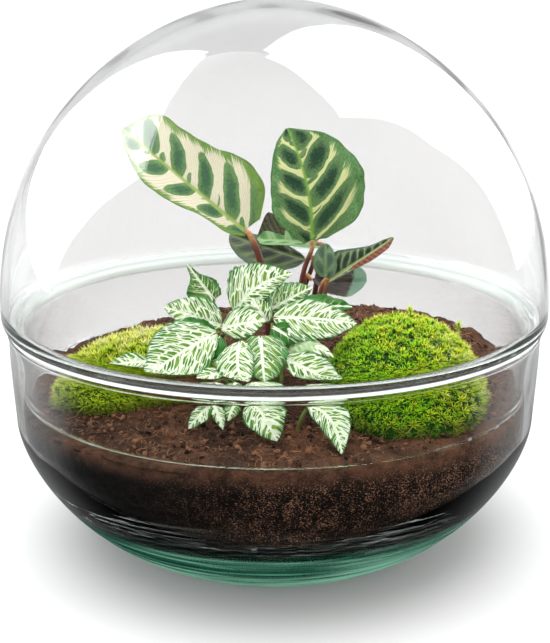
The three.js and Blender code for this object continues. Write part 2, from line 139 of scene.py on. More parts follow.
class Shape:
    """Points, faces and per-point values that are gathered from several surfaces into one mesh."""

    def __init__(self):
        self.points = []
        self.faces = []
        self.paints = []
        self.values = {}
        self.count = 0

    def add_faces(self, faces, paint, first=0):
        """Faces whose corners are numbered from the given point on."""
        faces = np.asarray(faces, int)
        self.faces.extend((faces + first).tolist())
        self.paints.append(np.full(len(faces), paint))

    def add(self, points, faces, paint=0, **values):
        """A surface: its points, its groups of faces, and values with one or three columns."""
        points = np.asarray(points, float).reshape(-1, 3)
        for name, value in values.items():
            value = np.broadcast_to(np.asarray(value, float), (len(points), 3))
            self.values.setdefault(name, []).append(value)
        self.points.append(points)
        for group in faces:
            self.add_faces(group, paint, self.count)
        self.count += len(points)

    def make(self, name, materials, replaces=()):
        """The mesh as a piece of the model, which takes the place of the solids that it replaces."""
        mesh = bpy.data.meshes.new(name)
        points = np.vstack(self.points) * MM
        mesh.from_pydata(points.tolist(), [], self.faces)
        mesh.polygons.foreach_set("material_index", np.concatenate(self.paints).astype(np.int32))
        mesh.polygons.foreach_set("use_smooth", np.ones(len(mesh.polygons), bool))
        for key, parts in self.values.items():
            values = np.vstack(parts).astype(np.float32)
            mesh.attributes.new(key, "FLOAT_VECTOR", "POINT").data.foreach_set("vector", values.ravel())
        for material in materials:
            mesh.materials.append(material)
        mesh.update()
        piece = link(name, mesh)
        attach(piece, BODY)
        if replaces:
            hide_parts(*replaces)
        return piece


def grid_faces(rows, columns, closed_rows=False, closed_columns=False):
    """Quads over a grid of points, numbered row by row; a closed side wraps round."""
    last_row = rows if closed_rows else rows - 1
    last_column = columns if closed_columns else columns - 1
    i, j = np.meshgrid(np.arange(last_row), np.arange(last_column), indexing="ij")
    here = i * columns + j
    right = i * columns + (j + 1) % columns
    up = ((i + 1) % rows) * columns + j
    corner = ((i + 1) % rows) * columns + (j + 1) % columns
    return np.stack([here, up, corner, right], -1).reshape(-1, 4)


def fan(tip, first, second):
    """Triangles from one point to each stretch between the first and the second points of a ring."""
    return np.stack([np.full(len(first), tip), first, second], -1)


def turned_faces(sectors, count):
    """Faces over strips of points that stand round the axis and end in the two points on it that follow."""
    start = np.arange(sectors) * count
    after = np.roll(start, -1)
    ends = sectors * count
    return [grid_faces(sectors, count, closed_rows=True), fan(ends, after, start),
            fan(ends + 1, start + count - 1, after + count - 1)]


def tube(shape, path, radii, sides=10, paint=0, seed=0.0, knobs=0.0, **values):
    """A closed round rod along a path; radii holds a few radii that are spread evenly along it."""
    path = np.asarray(path, float)
    share = np.linspace(0, 1, len(path))
    radii = np.interp(share, np.linspace(0, 1, len(radii)), radii)
    along = unit(np.gradient(path, axis=0))
    u = np.array([1.0, 0.0, 0.0]) if abs(along[0][0]) < 0.9 else np.array([0.0, 1.0, 0.0])
    angle = around(sides)
    rings = []
    for centre, direction, radius in zip(path, along, radii):
        u = unit(u - direction * u.dot(direction))
        v = np.cross(direction, u)
        rings.append(centre + radius * (np.outer(np.cos(angle), u) + np.outer(np.sin(angle), v)))
    points = np.vstack(rings)
    if knobs:
        outward = points - np.repeat(path, sides, axis=0)
        points = points + outward * (knobs * noise_at(points, KNOB_SIZE, seed))[:, None]
    ends = len(points)
    points = np.vstack([points, path[:1], path[-1:]])
    last = ends - sides
    k = np.arange(sides)
    after = (k + 1) % sides
    wall = grid_faces(len(path), sides, closed_columns=True)[:, ::-1]
    run = np.concatenate([np.repeat(share, sides), [0, 1]])[:, None]
    faces = [wall, fan(ends, after, k), fan(ends + 1, last + k, last + after)]
    shape.add(points, faces, paint, run=run, **values)


# ---- Materials ----

def operation(kind):
    """A method that does one operation of the math node with a field and what else it is given."""
    return lambda field, *others: field.math(kind, field, *others)


class Field:
    """A number that varies over a surface, worked out by math nodes and written as arithmetic."""

    def __init__(self, paint, socket):
        self.paint = paint
        self.socket = socket

    def math(self, kind, *values):
        return self.paint.field("Math", values, operation=kind)

    __add__ = __radd__ = operation("ADD")
    __mul__ = __rmul__ = operation("MULTIPLY")
    __sub__ = operation("SUBTRACT")
    __truediv__ = operation("DIVIDE")
    __pow__ = operation("POWER")
    __abs__ = operation("ABSOLUTE")
    sin = operation("SINE")
    floor = operation("FLOOR")
    fraction = operation("FRACT")
    larger = operation("MAXIMUM")
    smaller = operation("MINIMUM")
    above = operation("GREATER_THAN")

    def __rsub__(self, other):
        return self.math("SUBTRACT", other, self)

    def step(self, low, high):
        """0 below low and 1 above high, with a smooth rise between; low may be the larger one."""
        at_low = 1.0 if low > high else 0.0
        inputs = {"Value": self, "From Min": min(low, high), "From Max": max(low, high), "To Min": at_low,
                  "To Max": 1.0 - at_low}
        return self.paint.field("MapRange", inputs, "Result", interpolation_type="SMOOTHSTEP")


# The mix node has sockets of several kinds; these are its factor, its two colours and their mix.
MIX_INPUTS = (0, 6, 7)
MIX_OUTPUT = 2


class Nodes:
    """Helpers that build a tree of shader nodes."""

    def __init__(self, tree):
        self.tree = tree

    def feed(self, slot, value):
        """Gives a socket a field, another node's socket or a constant."""
        if isinstance(value, Field):
            value = value.socket
        if isinstance(value, bpy.types.NodeSocket):
            self.tree.links.new(value, slot)
        else:
            slot.default_value = value

    def node(self, kind, inputs=(), output=0, **settings):
        """One output of a new node, whose inputs are given in order or by name or number."""
        node = self.tree.nodes.new("ShaderNode" + kind)
        for key, value in settings.items():
            setattr(node, key, value)
        for slot, value in (inputs.items() if isinstance(inputs, dict) else enumerate(inputs)):
            self.feed(node.inputs[slot], value)
        return node.outputs[output]

    def field(self, *what, **settings):
        """One output of a new node, as a field."""
        return Field(self, self.node(*what, **settings))

    def place(self):
        """The point on the object, in metres."""
        return self.node("TexCoord", output="Object")

    def split(self, vector):
        """The three parts of a vector as fields."""
        return [self.field("SeparateXYZ", [vector], axis) for axis in "XYZ"]

    def join(self, *parts):
        """A vector made from fields or numbers; what isn't given is 0."""
        return self.node("CombineXYZ", parts)

    def stored(self, name):
        """The three columns of a value that the mesh holds for each point."""
        return self.split(self.node("Attribute", output="Vector", attribute_name=name))

    def noise(self, vector, size, detail=2.0, roughness=0.5):
        """Noise from 0 to 1 with features of the given size, in the vector's own unit."""
        inputs = {"Vector": vector, "Scale": 1.0 / size, "Detail": detail, "Roughness": roughness}
        return self.field("TexNoise", inputs, "Fac")

    def grain(self, axes, scales, size=1.0, detail=2.0):
        """Noise that is drawn out or squeezed: each axis is multiplied by its scale first."""
        return self.noise(self.join(*[axis * scale for axis, scale in zip(axes, scales)]), size, detail)

    def cell_edge(self, vector, jitter):
        """Distance from the nearest border of a net of cells one unit wide."""
        inputs = {"Vector": vector, "Scale": 1.0, "Randomness": jitter}
        return self.field("TexVoronoi", inputs, "Distance", feature="DISTANCE_TO_EDGE")

    def mix(self, share, first, second):
        """A colour between two others."""
        return self.node("Mix", dict(zip(MIX_INPUTS, (share, first, second))), MIX_OUTPUT, data_type="RGBA")

    def blend(self, share, first, second):
        """A shader between two others."""
        return self.node("MixShader", [share, first, second])

    def matt(self, shade):
        """A matt shader of one colour or of a painted one."""
        return self.node("BsdfDiffuse", {"Color": shade})


class Paint(Nodes):
    """A material under construction, with a Principled shader."""

    def __init__(self, name, **constants):
        self.material = bpy.data.materials.new(name)
        self.material.use_nodes = True
        super().__init__(self.material.node_tree)
        self.shader = self.tree.nodes["Principled BSDF"]
        self.target = self.tree.nodes["Material Output"]
        for key, value in constants.items():
            self.shader.inputs[key.replace("_", " ")].default_value = value

    def bump(self, height, distance, strength=1.0):
        """Fine relief from a field of heights; 1 in the field is the distance, in metres."""
        inputs = {"Strength": strength, "Distance": distance, "Height": height}
        self.feed(self.shader.inputs["Normal"], self.node("Bump", inputs, "Normal"))

    def finish(self, shade):
        """The material, with the given colour."""
        self.feed(self.shader.inputs["Base Color"], shade)
        return self.material


def colour(red, green, blue):
    """A linear colour from its values on a screen, 0 to 255."""
    def linear(value):
        value = value / 255
        return value / 12.92 if value <= 0.04045 else ((value + 0.055) / 1.055) ** 2.4
    return (linear(red), linear(green), linear(blue), 1.0)


def shades(*triples):
    """Several colours at once."""
    return [colour(*triple) for triple in triples]


# How soft the edges of the painted highlight bands are, in metres.
HIGHLIGHT_EDGE = 0.0004


def glass_paint(name, clearness, tint, density, waves, painted_highlights, foot=None):
    """Clear glass, coloured by its own thickness; light reaches what stands inside it.

    Each band of painted highlight is given by its heights in metres; there the surface is matt white, a painted
    highlight. Each gives its share in front and behind, and whether it is broken into dashes, which are painted
    glints. Below the height foot the surface has the drawn streaks and a matt green band of painted light that
    stands in for light carried through the thick glass, lighter low down and on the right."""
    faintly_green = (clearness, clearness - 0.012, clearness - 0.008, 1.0)
    paint = Paint(name, Base_Color=faintly_green, Roughness=0.0, IOR=1.5, Transmission_Weight=1.0)
    place = paint.place()
    x, y, z = axes = paint.split(place)
    relief = paint.noise(place, 0.045, 1.0) * waves
    surface = paint.shader.outputs[0]
    if foot:
        streaks = paint.grain(axes, (14, 14, 420))
        relief = relief + streaks * z.step(foot * 1.3, foot * 0.7) * 0.0011
        # Painted light: a matt green glow, lighter low down and on the right, for light carried through the
        # thick glass.
        drawn = paint.grain(axes, (12, 12, 300))
        low = z.step(foot * 0.7, foot * 0.25) * 0.5
        painted_lit_side = x.step(0.01, 0.05) * 0.25
        painted_glow_level = (drawn * 1.3 + low + painted_lit_side).step(0.55, 1.25)
        painted_glow = paint.mix(painted_glow_level, *shades((0, 72, 54), (150, 214, 186)))
        outside = 1 - paint.field("NewGeometry", output="Backfacing")
        share = (z + (streaks - 0.5) * 0.012).step(foot, foot * 0.8) * (0.3 + drawn * 0.7) * outside
        surface = paint.blend(share, surface, paint.matt(painted_glow))
    paint.bump(relief, 1.0)
    # Painted highlights: matt white bands, stronger behind, and dashes of painted glints along a cut edge.
    glint_dashes = paint.noise(place, 0.009, 3.0).step(0.53, 0.63) * abs(x).step(0.06, 0.09)
    for band in painted_highlights:
        front, broken = band["front"], band.get("broken", 0)
        share = (y.step(-0.05, 0.06) * (band["back"] - front) + front) * (glint_dashes * broken + (1 - broken))
        low, high = band["low"], band["high"]
        inside = z.step(low, low + HIGHLIGHT_EDGE) * z.step(high + HIGHLIGHT_EDGE, high)
        surface = paint.blend(inside * share, surface, paint.matt((0.95, 0.95, 0.95, 1.0)))
    clear = paint.node("BsdfTransparent", {"Color": (0.94, 0.965, 0.955, 1.0)})
    shadow, diffuse = [paint.field("LightPath", output=f"Is {kind} Ray") for kind in ("Shadow", "Diffuse")]
    paint.feed(paint.target.inputs["Surface"], paint.blend(shadow.larger(diffuse), surface, clear))
    absorption = paint.node("VolumeAbsorption", {"Color": tint, "Density": density})
    paint.feed(paint.target.inputs["Volume"], absorption)
    return paint.material


def soil_paint():
    """Loose brown peat on top; below it, against the glass, nearly black: damp peat darkened by painted shade.
    Pale shreds lie there only on the lit right side, which is partly painted light.
    """
    paint = Paint("peat", Roughness=0.95, Specular_IOR_Level=0.2)
    place = paint.place()
    x, y, z = paint.split(place)
    clods = paint.noise(place, 0.006, 4.0, 0.65)
    grains = paint.noise(place, 0.0014, 3.0, 0.7)
    patches = paint.noise(place, 0.03, 2.0)
    coarse = paint.noise(place, 0.0045, 3.0, 0.6)
    shreds = paint.noise(paint.join(x + y * 0.6, y - x * 0.6, z * 1.7), 0.0008, 2.0, 0.6)
    # Pale shreds show only on the right side, which also lightens that side as painted light.
    lit_right_side = x.step(-0.07, 0.02)
    specks = (shreds + (coarse - 0.5) * 0.25 + (patches - 0.5) * 0.15).step(0.55, 0.64) * lit_right_side
    # Below the top the peat is nearly black: damp peat, made darker by painted shade.
    damp_and_shaded = paint.mix(specks, paint.mix(coarse, *shades((0, 0, 0), (17, 11, 9))), colour(140, 100, 78))
    top = z.step(0.070, 0.084)
    dark = paint.mix(top, damp_and_shaded, paint.mix(grains, *shades((24, 13, 9), (66, 40, 29))))
    light = paint.mix(grains, *shades((72, 44, 32), (150, 100, 74)))
    paint.bump(grains + clods, 0.0012)
    return paint.finish(paint.mix((clods * 0.75 + patches * 0.5 - 0.12).step(0.3, 0.68) * top, dark, light))


def crumb_paint(name, dark, light):
    """Peat in crumbs or fibres, each with a tone of its own."""
    paint = Paint(name, Roughness=0.9, Specular_IOR_Level=0.2)
    grains = paint.noise(paint.place(), 0.0009, 3.0, 0.7)
    paint.bump(grains, 0.0003, 0.8)
    tone = paint.stored("tone")[0]
    return paint.finish(paint.mix((tone * 0.7 + grains * 0.5).step(0.25, 1.0), *shades(dark, light)))


def moss_paint(name, deep, green, lime, pale, paleness, ripe):
    """Painted shade makes the core and the lower part of each needle dark, for the depth of the cushion; green
    to lime and pale at the tips, and brown at the soil.
    """
    paint = Paint(name, Roughness=0.6, Specular_IOR_Level=0.3)
    deep, green, lime, pale, brown = shades(deep, green, lime, pale, (96, 84, 38))
    tone, tip, above_soil = paint.stored("tone")
    place = paint.place()
    drifts = paint.noise(place, 0.016, 2.0)
    flecks = paint.noise(place, 0.0016, 1.0)
    fresh = tone * 0.7 + drifts * 0.75 + paint.stored("bleach")[0] * paleness + ripe
    tips = paint.mix(fresh.step(0.6, 1.15), paint.mix(fresh.step(0.15, 0.75), green, lime), pale)
    inner = paint.mix(fresh.step(0.2, 1.1), deep, green)
    # Painted shade: each needle darkens from its tip to its root, and the core is dark.
    body = paint.mix((tip * (0.75 + flecks * 0.6)).step(0.06, 0.66), inner, tips)
    paint.bump(flecks, 0.0002, 0.5)
    return paint.finish(paint.mix(above_soil.step(0.26, 0.02) * 0.75, body, brown))


# How the side veins run, in the relief and the paint alike: how far they slant towards the tip, how much more
# they do so near the margin, their spacing in millimetres and how far a leaf's seed shifts them. ribs is how
# closely the fine ribs of the peacock plant follow each other.
NERVE = dict(slant=0.72, curve=0.35, period=3.8, shift=3.1)
PEACOCK = dict(slant=0.55, curve=0.5, ribs=2.7)


def nerve_paint():
    """Green blade with white veins: a midrib, side veins that run out to the tip, and a net between them.
    A leaf in shade gets painted shade: darker green and thinner veins.
    """
    paint = Paint("nerve_leaf", Roughness=0.5, Specular_IOR_Level=0.35)
    along, across, half = paint.stored("leaf_mm")
    share, seed, painted_shade = paint.stored("leaf_share")
    leaf = (along, across, seed)
    out = abs(across)
    q = out / half
    wander = paint.grain(leaf, (0.35, 0.35, 9)) - 0.5
    slant = along - out * NERVE["slant"] - out * q * NERVE["curve"] + wander * 1.6
    other_half = across.above(0.0)
    phase = slant / NERVE["period"] + seed * NERVE["shift"] + other_half * 0.5
    side_vein = abs(phase.fraction() - 0.5) * NERVE["period"] - (0.42 - q * 0.32 - painted_shade * 0.3)
    cells = paint.join(slant / 1.65 + seed * 7, out / 4.2 + seed * 5, other_half * 3.7)
    net = paint.cell_edge(cells, 0.95) * 1.65 - (0.15 - q * 0.06 - painted_shade * 0.25)
    midrib = out - (0.8 - share * 0.5)
    fade = (q + wander * 0.22).step(1.02, 0.88)
    white = side_vein.smaller(net).smaller(midrib).step(0.09, -0.06) * fade
    cell = paint.mix(paint.grain(leaf, (1, 1, 1), 5.0).step(0.3, 0.7), *shades((66, 120, 24), (132, 168, 56)))
    margin = paint.mix(wander + 0.5, *shades((18, 92, 22), (64, 138, 42)))
    green = paint.mix((q + wander * 0.3).step(0.5, 0.95), cell, margin)
    # Painted shade: a leaf in shade turns dark green.
    green = paint.mix(painted_shade, green, paint.mix(wander + 0.5, *shades((12, 74, 12), (40, 122, 30))))
    ivory = paint.mix(wander + 0.5, *shades((252, 253, 240), (236, 243, 208)))
    paint.bump(white * -0.6 + paint.grain(leaf, (1, 1, 1), 0.5) * 0.2, 0.0003, 0.6)
    return paint.finish(paint.mix(white, green, ivory))


def under_paint(name, first, second):
    """The underside of a leaf: two tones in fine streaks, with faint ribs."""
    paint = Paint(name, Roughness=0.6)
    along, across, _ = paint.stored("leaf_mm")
    ribs = ((along - abs(across) * 0.8) * 2.4).sin()
    grain = paint.noise(paint.join(along, across), 1.2, 3.0)
    streaks = paint.grain((along, across), (0.25, 1.5))
    paint.bump(ribs * 0.3 + grain * 0.3, 0.0003, 0.6)
    share = (grain * 0.6 + streaks * 0.6 + ribs * 0.12).step(0.3, 0.9)
    return paint.finish(paint.mix(share, *shades(first, second)))


def peacock_paint(name, oval, cream, margin, rib, period, cream_share, oval_width):
    """Dark ovals along the side veins, cream feathered stripes between them and a green margin.

    period is the spacing of the ovals in millimetres; cream_share is how far out the cream reaches. A leaf in
    shade is darkened with painted shade."""
    paint = Paint(name, Roughness=0.42, Specular_IOR_Level=0.4)
    along, across, half = paint.stored("leaf_mm")
    share, seed, painted_shade = paint.stored("leaf_share")
    leaf = (along, across, seed)
    out = abs(across)
    q = out / half
    other_half = across.above(0.0)
    wander = paint.grain(leaf, (0.12, 0.12, 9)) - 0.5
    slant = along - out * PEACOCK["slant"] - out * q * PEACOCK["curve"] + wander * 3.4
    phase = slant / period + other_half * 0.45 + seed
    f = phase.fraction() - 0.5
    edge_grain = paint.grain((slant, out, seed), (1.3, 0.25, 1), 1.0, 3.0) - 0.5
    uneven = paint.grain((phase.floor(), other_half, seed), (3.7, 5.3, 1), 1.0, 0.0) - 0.5
    oval_form = (abs(f / (oval_width + uneven * 0.12)) ** 2.3
                 + abs((q - (0.37 + uneven * 0.12)) / 0.42) ** 2.3)
    beside = abs((phase + 0.46).fraction() - 0.5)
    spot = (beside / 0.11) ** 2.0 + abs((q - 0.1) / 0.13) ** 2.0
    spot = (spot + edge_grain * 0.5).step(1.1, 0.8) * uneven.step(-0.02, 0.06)
    dark = (oval_form + edge_grain * 0.45).step(1.1, 0.9).larger(spot)
    feather = paint.grain((slant, out, seed), (1.9, 0.08, 3)) - 0.5
    near_base = share.step(0.3, 0.02)
    reach = q + feather * 0.6 + abs(f) * -0.2 + near_base * 0.28
    pale = reach.step(cream_share + 0.05, cream_share - 0.04) * share.step(0.975, 0.92)
    fine_vein = abs((slant / 1.25).fraction() - 0.5).step(0.14, 0.02) * 0.55
    mottled = paint.grain(leaf, (1, 1, 1), 0.8, 3.0)
    clouds = paint.grain(leaf, (0.5, 0.5, 5), 2.2, 3.0)
    green = paint.mix((mottled * 0.8 + clouds * 0.6 + fine_vein * 0.25).step(0.35, 1.05), *shades(*margin))
    light = paint.mix(fine_vein * (q * 0.7 + 0.6) + mottled * 0.25, *shades(*cream))
    core = (oval_form + clouds * 0.8).step(0.3, 1.1)
    deep = (core * 0.7 + (mottled - 0.5) * 1.3 + fine_vein * 0.3).step(0.0, 0.9)
    body = paint.mix(dark, paint.mix(pale, green, light), paint.mix(deep, *shades(*oval)))
    midrib = (out - (0.9 - share * 0.6)).step(0.35, -0.15)
    body = paint.mix(midrib * 0.85, body, colour(*rib))
    # Painted shade: a leaf in shade is darkened.
    body = paint.mix(painted_shade, body, colour(36, 52, 38))
    paint.bump((slant * PEACOCK["ribs"]).sin() * 0.25 + mottled * 0.25, 0.0003, 0.5)
    return paint.finish(paint.mix(q.step(0.965, 1.0) * 0.55, body, colour(70, 92, 52)))


def cup_paint():
    """Nearly black in the hollow, a painted shadow; blue-green where the end curls up, with a pale edge."""
    paint = Paint("peacock_cup", Roughness=0.5)
    along, across, half = paint.stored("leaf_mm")
    share, seed, _ = paint.stored("leaf_share")
    leaf = (along, across, seed)
    grain = paint.grain(leaf, (1, 1, 1), 1.1, 3.0)
    streaks = paint.grain(leaf, (0.2, 1.4, 1), 1.0, 3.0)
    # The hollow's near black is painted shadow.
    painted_shadow_hollow = paint.mix(streaks.step(0.35, 0.7), *shades((30, 22, 20), (74, 62, 52)))
    curled = paint.mix(grain, *shades((84, 122, 110), (132, 168, 132)))
    body = paint.mix((share + (grain - 0.5) * 0.08).step(0.70, 0.76), painted_shadow_hollow, curled)
    paint.bump(grain, 0.0003, 0.6)
    return paint.finish(paint.mix((abs(across) / half).step(0.93, 1.0) * 0.7, body, colour(170, 150, 132)))


def stalk_paint(name, low, high, blush):
    """A stalk that changes colour near the leaf, with darker fibres along it."""
    paint = Paint(name, Roughness=0.45, Specular_IOR_Level=0.4)
    low, high, blush = shades(low, high, blush)
    place = paint.place()
    fibre = paint.grain(paint.split(place), (1, 1, 0.12), 0.0005)
    speckle = (paint.noise(place, 0.0012, 3.0) + fibre - 0.5).step(0.2, 0.9)
    paint.bump(fibre, 0.0002, 0.6)
    body = paint.mix(paint.stored("run")[0].step(0.7, 0.88), low, high)
    return paint.finish(paint.mix(speckle * 0.55, body, blush))


# ---- Glass ----

def quarter_curve(steps, width, height, powers):
    """Points on a quarter of a superellipse, from its widest place to its end on the axis side."""
    angle = np.linspace(0, np.pi / 2, steps + 1)
    across = width * np.clip(np.cos(angle), 0, 1) ** (2 / powers[0])
    along = height * np.sin(angle) ** (2 / powers[1])
    return np.stack([across, along], -1)


def bowl_curve(flat_radius, flat_z, inset, steps):
    """The bowl's curve from the flat out to the waist, moved inwards by inset."""
    waist_z = LIP_Z - WAIST_DEPTH
    curve = quarter_curve(steps, WAIST_RADIUS - inset - flat_radius, waist_z - flat_z, BOWL_POWERS)
    return np.stack([flat_radius + curve[:, 0], waist_z - curve[:, 1]], -1)[::-1]


def turned(shape, profile, sectors):
    """Turns a profile of radius and height that starts and ends on the axis."""
    profile = np.asarray(profile, float)
    radius, height = profile[1:-1].T
    angle = around(sectors)
    points = np.stack([np.outer(np.cos(angle), radius), np.outer(np.sin(angle), radius),
                       np.tile(height, (sectors, 1))], -1).reshape(-1, 3)
    ends = [[0, 0, profile[0][1]], [0, 0, profile[-1][1]]]
    shape.add(np.vstack([points, ends]), turned_faces(sectors, len(radius)))


def glass_bowl():
    """The bowl, with a rounded lip that carries a painted highlight in matt white."""
    rim = LIP_RADIUS - GLASS_WALL
    outside = bowl_curve(FOOT_RADIUS, 0.0, inset=0.0, steps=56)
    inside = bowl_curve(FLOOR_RADIUS, FLOOR_Z, inset=GLASS_WALL, steps=56)[::-1]
    corners = [outside[-1], (LIP_RADIUS - 0.4, LIP_Z - 18), (LIP_RADIUS, LIP_Z - 3.2),
               (LIP_RADIUS + 0.7, LIP_Z - 1.2), (LIP_RADIUS + 0.5, LIP_Z + 0.1),
               (LIP_RADIUS - 0.7, LIP_Z + 0.75), (rim + 0.6, LIP_Z + 0.3), (rim, LIP_Z - 1.4),
               (rim - 0.4, LIP_Z - 18), inside[0]]
    lip = catmull_rom(corners, steps=7)
    shape = Shape()
    turned(shape, np.vstack([[[0, 0]], outside[:-1], lip, inside[1:], [[0, FLOOR_Z]]]), GLASS_SECTORS)
    top = LIP_Z * MM
    # Painted highlights: a white band on the lip, and a fainter one just below it behind.
    painted_highlights = [dict(low=top, high=top + 0.002, front=0.8, back=0.85),
            dict(low=top - 0.003, high=top - 0.0005, front=0.0, back=0.5)]
    paint = glass_paint("bowl_glass", clearness=0.95, tint=colour(96, 222, 186), density=6.0, waves=0.0004,
                        painted_highlights=painted_highlights, foot=0.040)
    return shape.make("bowl", [paint], ["glass_bowl"])


def glass_dome():
    """The dome in one with its shoulder and its neck; the shoulder carries a painted highlight, and the neck's
    edge has painted glints in dashes.
    """
    inner = NECK_RADIUS - NECK_WALL
    edge = LIP_Z - NECK_DEPTH
    lift = np.array([0, DOME_WIDEST_Z])
    steps = 64
    outside = quarter_curve(steps, DOME_RADIUS, DOME_RISE, DOME_POWERS) + lift
    inside = quarter_curve(steps, DOME_RADIUS - GLASS_WALL, DOME_RISE - DOME_CROWN, DOME_POWERS) + lift
    inside = inside[::-1]
    neck_inside = [(DOME_RADIUS - 4.5, SHOULDER_Z + 3.6), (inner + 2.2, SHOULDER_Z + 1.8),
                   (inner + 0.2, SHOULDER_Z - 1.2), (inner, SHOULDER_Z - 8), (inner, edge + 6),
                   (inner, edge + 0.9)]
    neck_outside = [(NECK_RADIUS, edge + 0.9), (NECK_RADIUS, edge + 6), (NECK_RADIUS, SHOULDER_Z - 8),
                    (NECK_RADIUS + 0.1, SHOULDER_Z - 2.6), (NECK_RADIUS + 1.4, SHOULDER_Z - 0.2)]
    shoulder = [(NECK_RADIUS + 3.2, SHOULDER_Z + 0.1), (DOME_RADIUS - 4.2, SHOULDER_Z + 0.2),
                (DOME_RADIUS - 1.7, SHOULDER_Z + 1.0), (DOME_RADIUS - 0.5, SHOULDER_Z + 2.7)]
    corners = [inside[-1], *neck_inside, (inner + NECK_WALL / 2, edge), *neck_outside, *shoulder, outside[0]]
    crown = [[[0, inside[0][1]]], [[0, outside[-1][1]]]]
    shape = Shape()
    turned(shape, np.vstack([crown[0], inside[1:-1], catmull_rom(corners, steps=6), outside[1:-1], crown[1]]),
           GLASS_SECTORS)
    seat, edge = SHOULDER_Z * MM, edge * MM
    # A painted highlight along the shoulder, and painted glints in dashes along the neck's edge.
    painted_highlights = [dict(low=seat - 0.002, high=seat + 0.003, front=0.04, back=0.5),
            dict(low=edge - 0.001, high=edge + 0.0009, front=0.5, back=0.2, broken=1)]
    paint = glass_paint("dome_glass", clearness=0.93, tint=colour(150, 220, 196), density=8.0, waves=0.0005,
                        painted_highlights=painted_highlights)
    return shape.make("dome", [paint], ["glass_dome"])


# ---- Soil ----

def hill(x, y, centre_x, centre_y, spread):
    """A round hill, 1 high."""
    return np.exp(-((x - centre_x) ** 2 + (y - centre_y) ** 2) / (2 * spread ** 2))


def soil_height(x, y):
    """The height of the peat's mean surface, which rises by the tilt in 100 mm towards the back right."""
    tilt = SOIL_TILT * (0.75 * x + 0.66 * y) / 100
    bank = sum(height * hill(x, y, *where) for height, *where in SOIL_HILLS)
    lumps = 0.7 * np.sin(x / 9 + 1) * np.cos(y / 11) + 0.4 * np.sin(x / 4.7 - y / 5.9)
    return SOIL_Z + tilt + bank + lumps


def crumbly_height(x, y):
    """The surface with its clods, lumps and grains, which are 6.5, 2.9 and 1.5 mm wide."""
    flat = np.stack([x, y, np.zeros_like(x)], -1)
    clods, lumps, grains = [noise_at(flat, size, seed) for seed, size in enumerate((6.5, 2.9, 1.5), start=1)]
    return soil_height(x, y) + 1.2 * clods + 0.5 * np.abs(clods) + 1.1 * lumps + 0.7 * grains


def soil():
    """The peat: a dented skin against the glass, a ledge under the neck and a crumbly top."""
    wall = WAIST_RADIUS - GLASS_WALL - GAP
    neck = NECK_RADIUS - NECK_WALL - GAP
    under_neck = LIP_Z - NECK_DEPTH - GAP
    floor_z = FLOOR_Z + GAP
    dent_share = 0.009
    shortest_wall = 0.8
    wall_rows, top_rings = 10, 92
    side = bowl_curve(FLOOR_RADIUS - GAP, floor_z, inset=GLASS_WALL + GAP, steps=60)
    upright = np.linspace(side[-1][1], under_neck, wall_rows)[1:]
    radii = np.linspace(neck, 1.0, top_rings)
    angle = around(SOIL_SECTORS)[:, None]
    profile = np.vstack([side, np.stack([np.full(len(upright), wall), upright], -1)])
    skin = np.stack([np.cos(angle) * profile[:, 0], np.sin(angle) * profile[:, 0],
                     np.tile(profile[:, 1], (SOIL_SECTORS, 1))], -1)
    flat = skin.reshape(-1, 3)
    dent = np.clip(noise_at(flat, 3.2, 4) + 0.5 * noise_at(flat, 1.6, 5) + 0.1, 0, 1)
    skin[..., :2] *= (1 - dent_share * dent.reshape(SOIL_SECTORS, -1))[..., None]
    top_x, top_y = np.cos(angle) * radii, np.sin(angle) * radii
    top_z = crumbly_height(top_x.ravel(), top_y.ravel()).reshape(top_x.shape)
    top = np.stack([top_x, top_y, top_z], -1)
    ledge = np.minimum(under_neck, top_z[:, 0] - GAP)
    foot = np.stack([top_x[:, 0], top_y[:, 0], ledge], -1)[:, None]
    skin[:, -1, 2] = ledge
    skin[:, -2, 2] = np.minimum(skin[:, -2, 2], ledge - shortest_wall)
    rings = np.concatenate([skin, foot, top], axis=1)
    centre = [[0, 0, floor_z], [0, 0, float(crumbly_height(np.zeros(1), np.zeros(1))[0])]]
    shape = Shape()
    shape.add(np.vstack([rings.reshape(-1, 3), centre]), turned_faces(SOIL_SECTORS, rings.shape[1]))
    return shape.make("peat", [soil_paint()], ["soil"])


ICOSAHEDRON = np.array([(x, y, z) for a, b in [(1, 1.618), (1, -1.618)] for s in (1, -1)
                        for x, y, z in [(0, s * a, b), (s * a, b, 0), (b, 0, s * a)]]) / 1.902


def convex_faces(points):
    """Triangles of the hull of a few points, found by testing every three of them."""
    faces = []
    for a, b, c in itertools.combinations(range(len(points)), 3):
        normal = np.cross(points[b] - points[a], points[c] - points[a])
        side = (points - points[a]) @ normal
        if np.all(side < 1e-6):
            faces.append((a, b, c))
        elif np.all(side > -1e-6):
            faces.append((a, c, b))
    return np.array(faces)


def scatter_on_soil(rng, count, limit):
    """Random places on the peat, evenly spread up to a radius."""
    radius = limit * np.sqrt(rng.random(count))
    angle = rng.random(count) * 2 * np.pi
    return radius * np.cos(angle), radius * np.sin(angle)


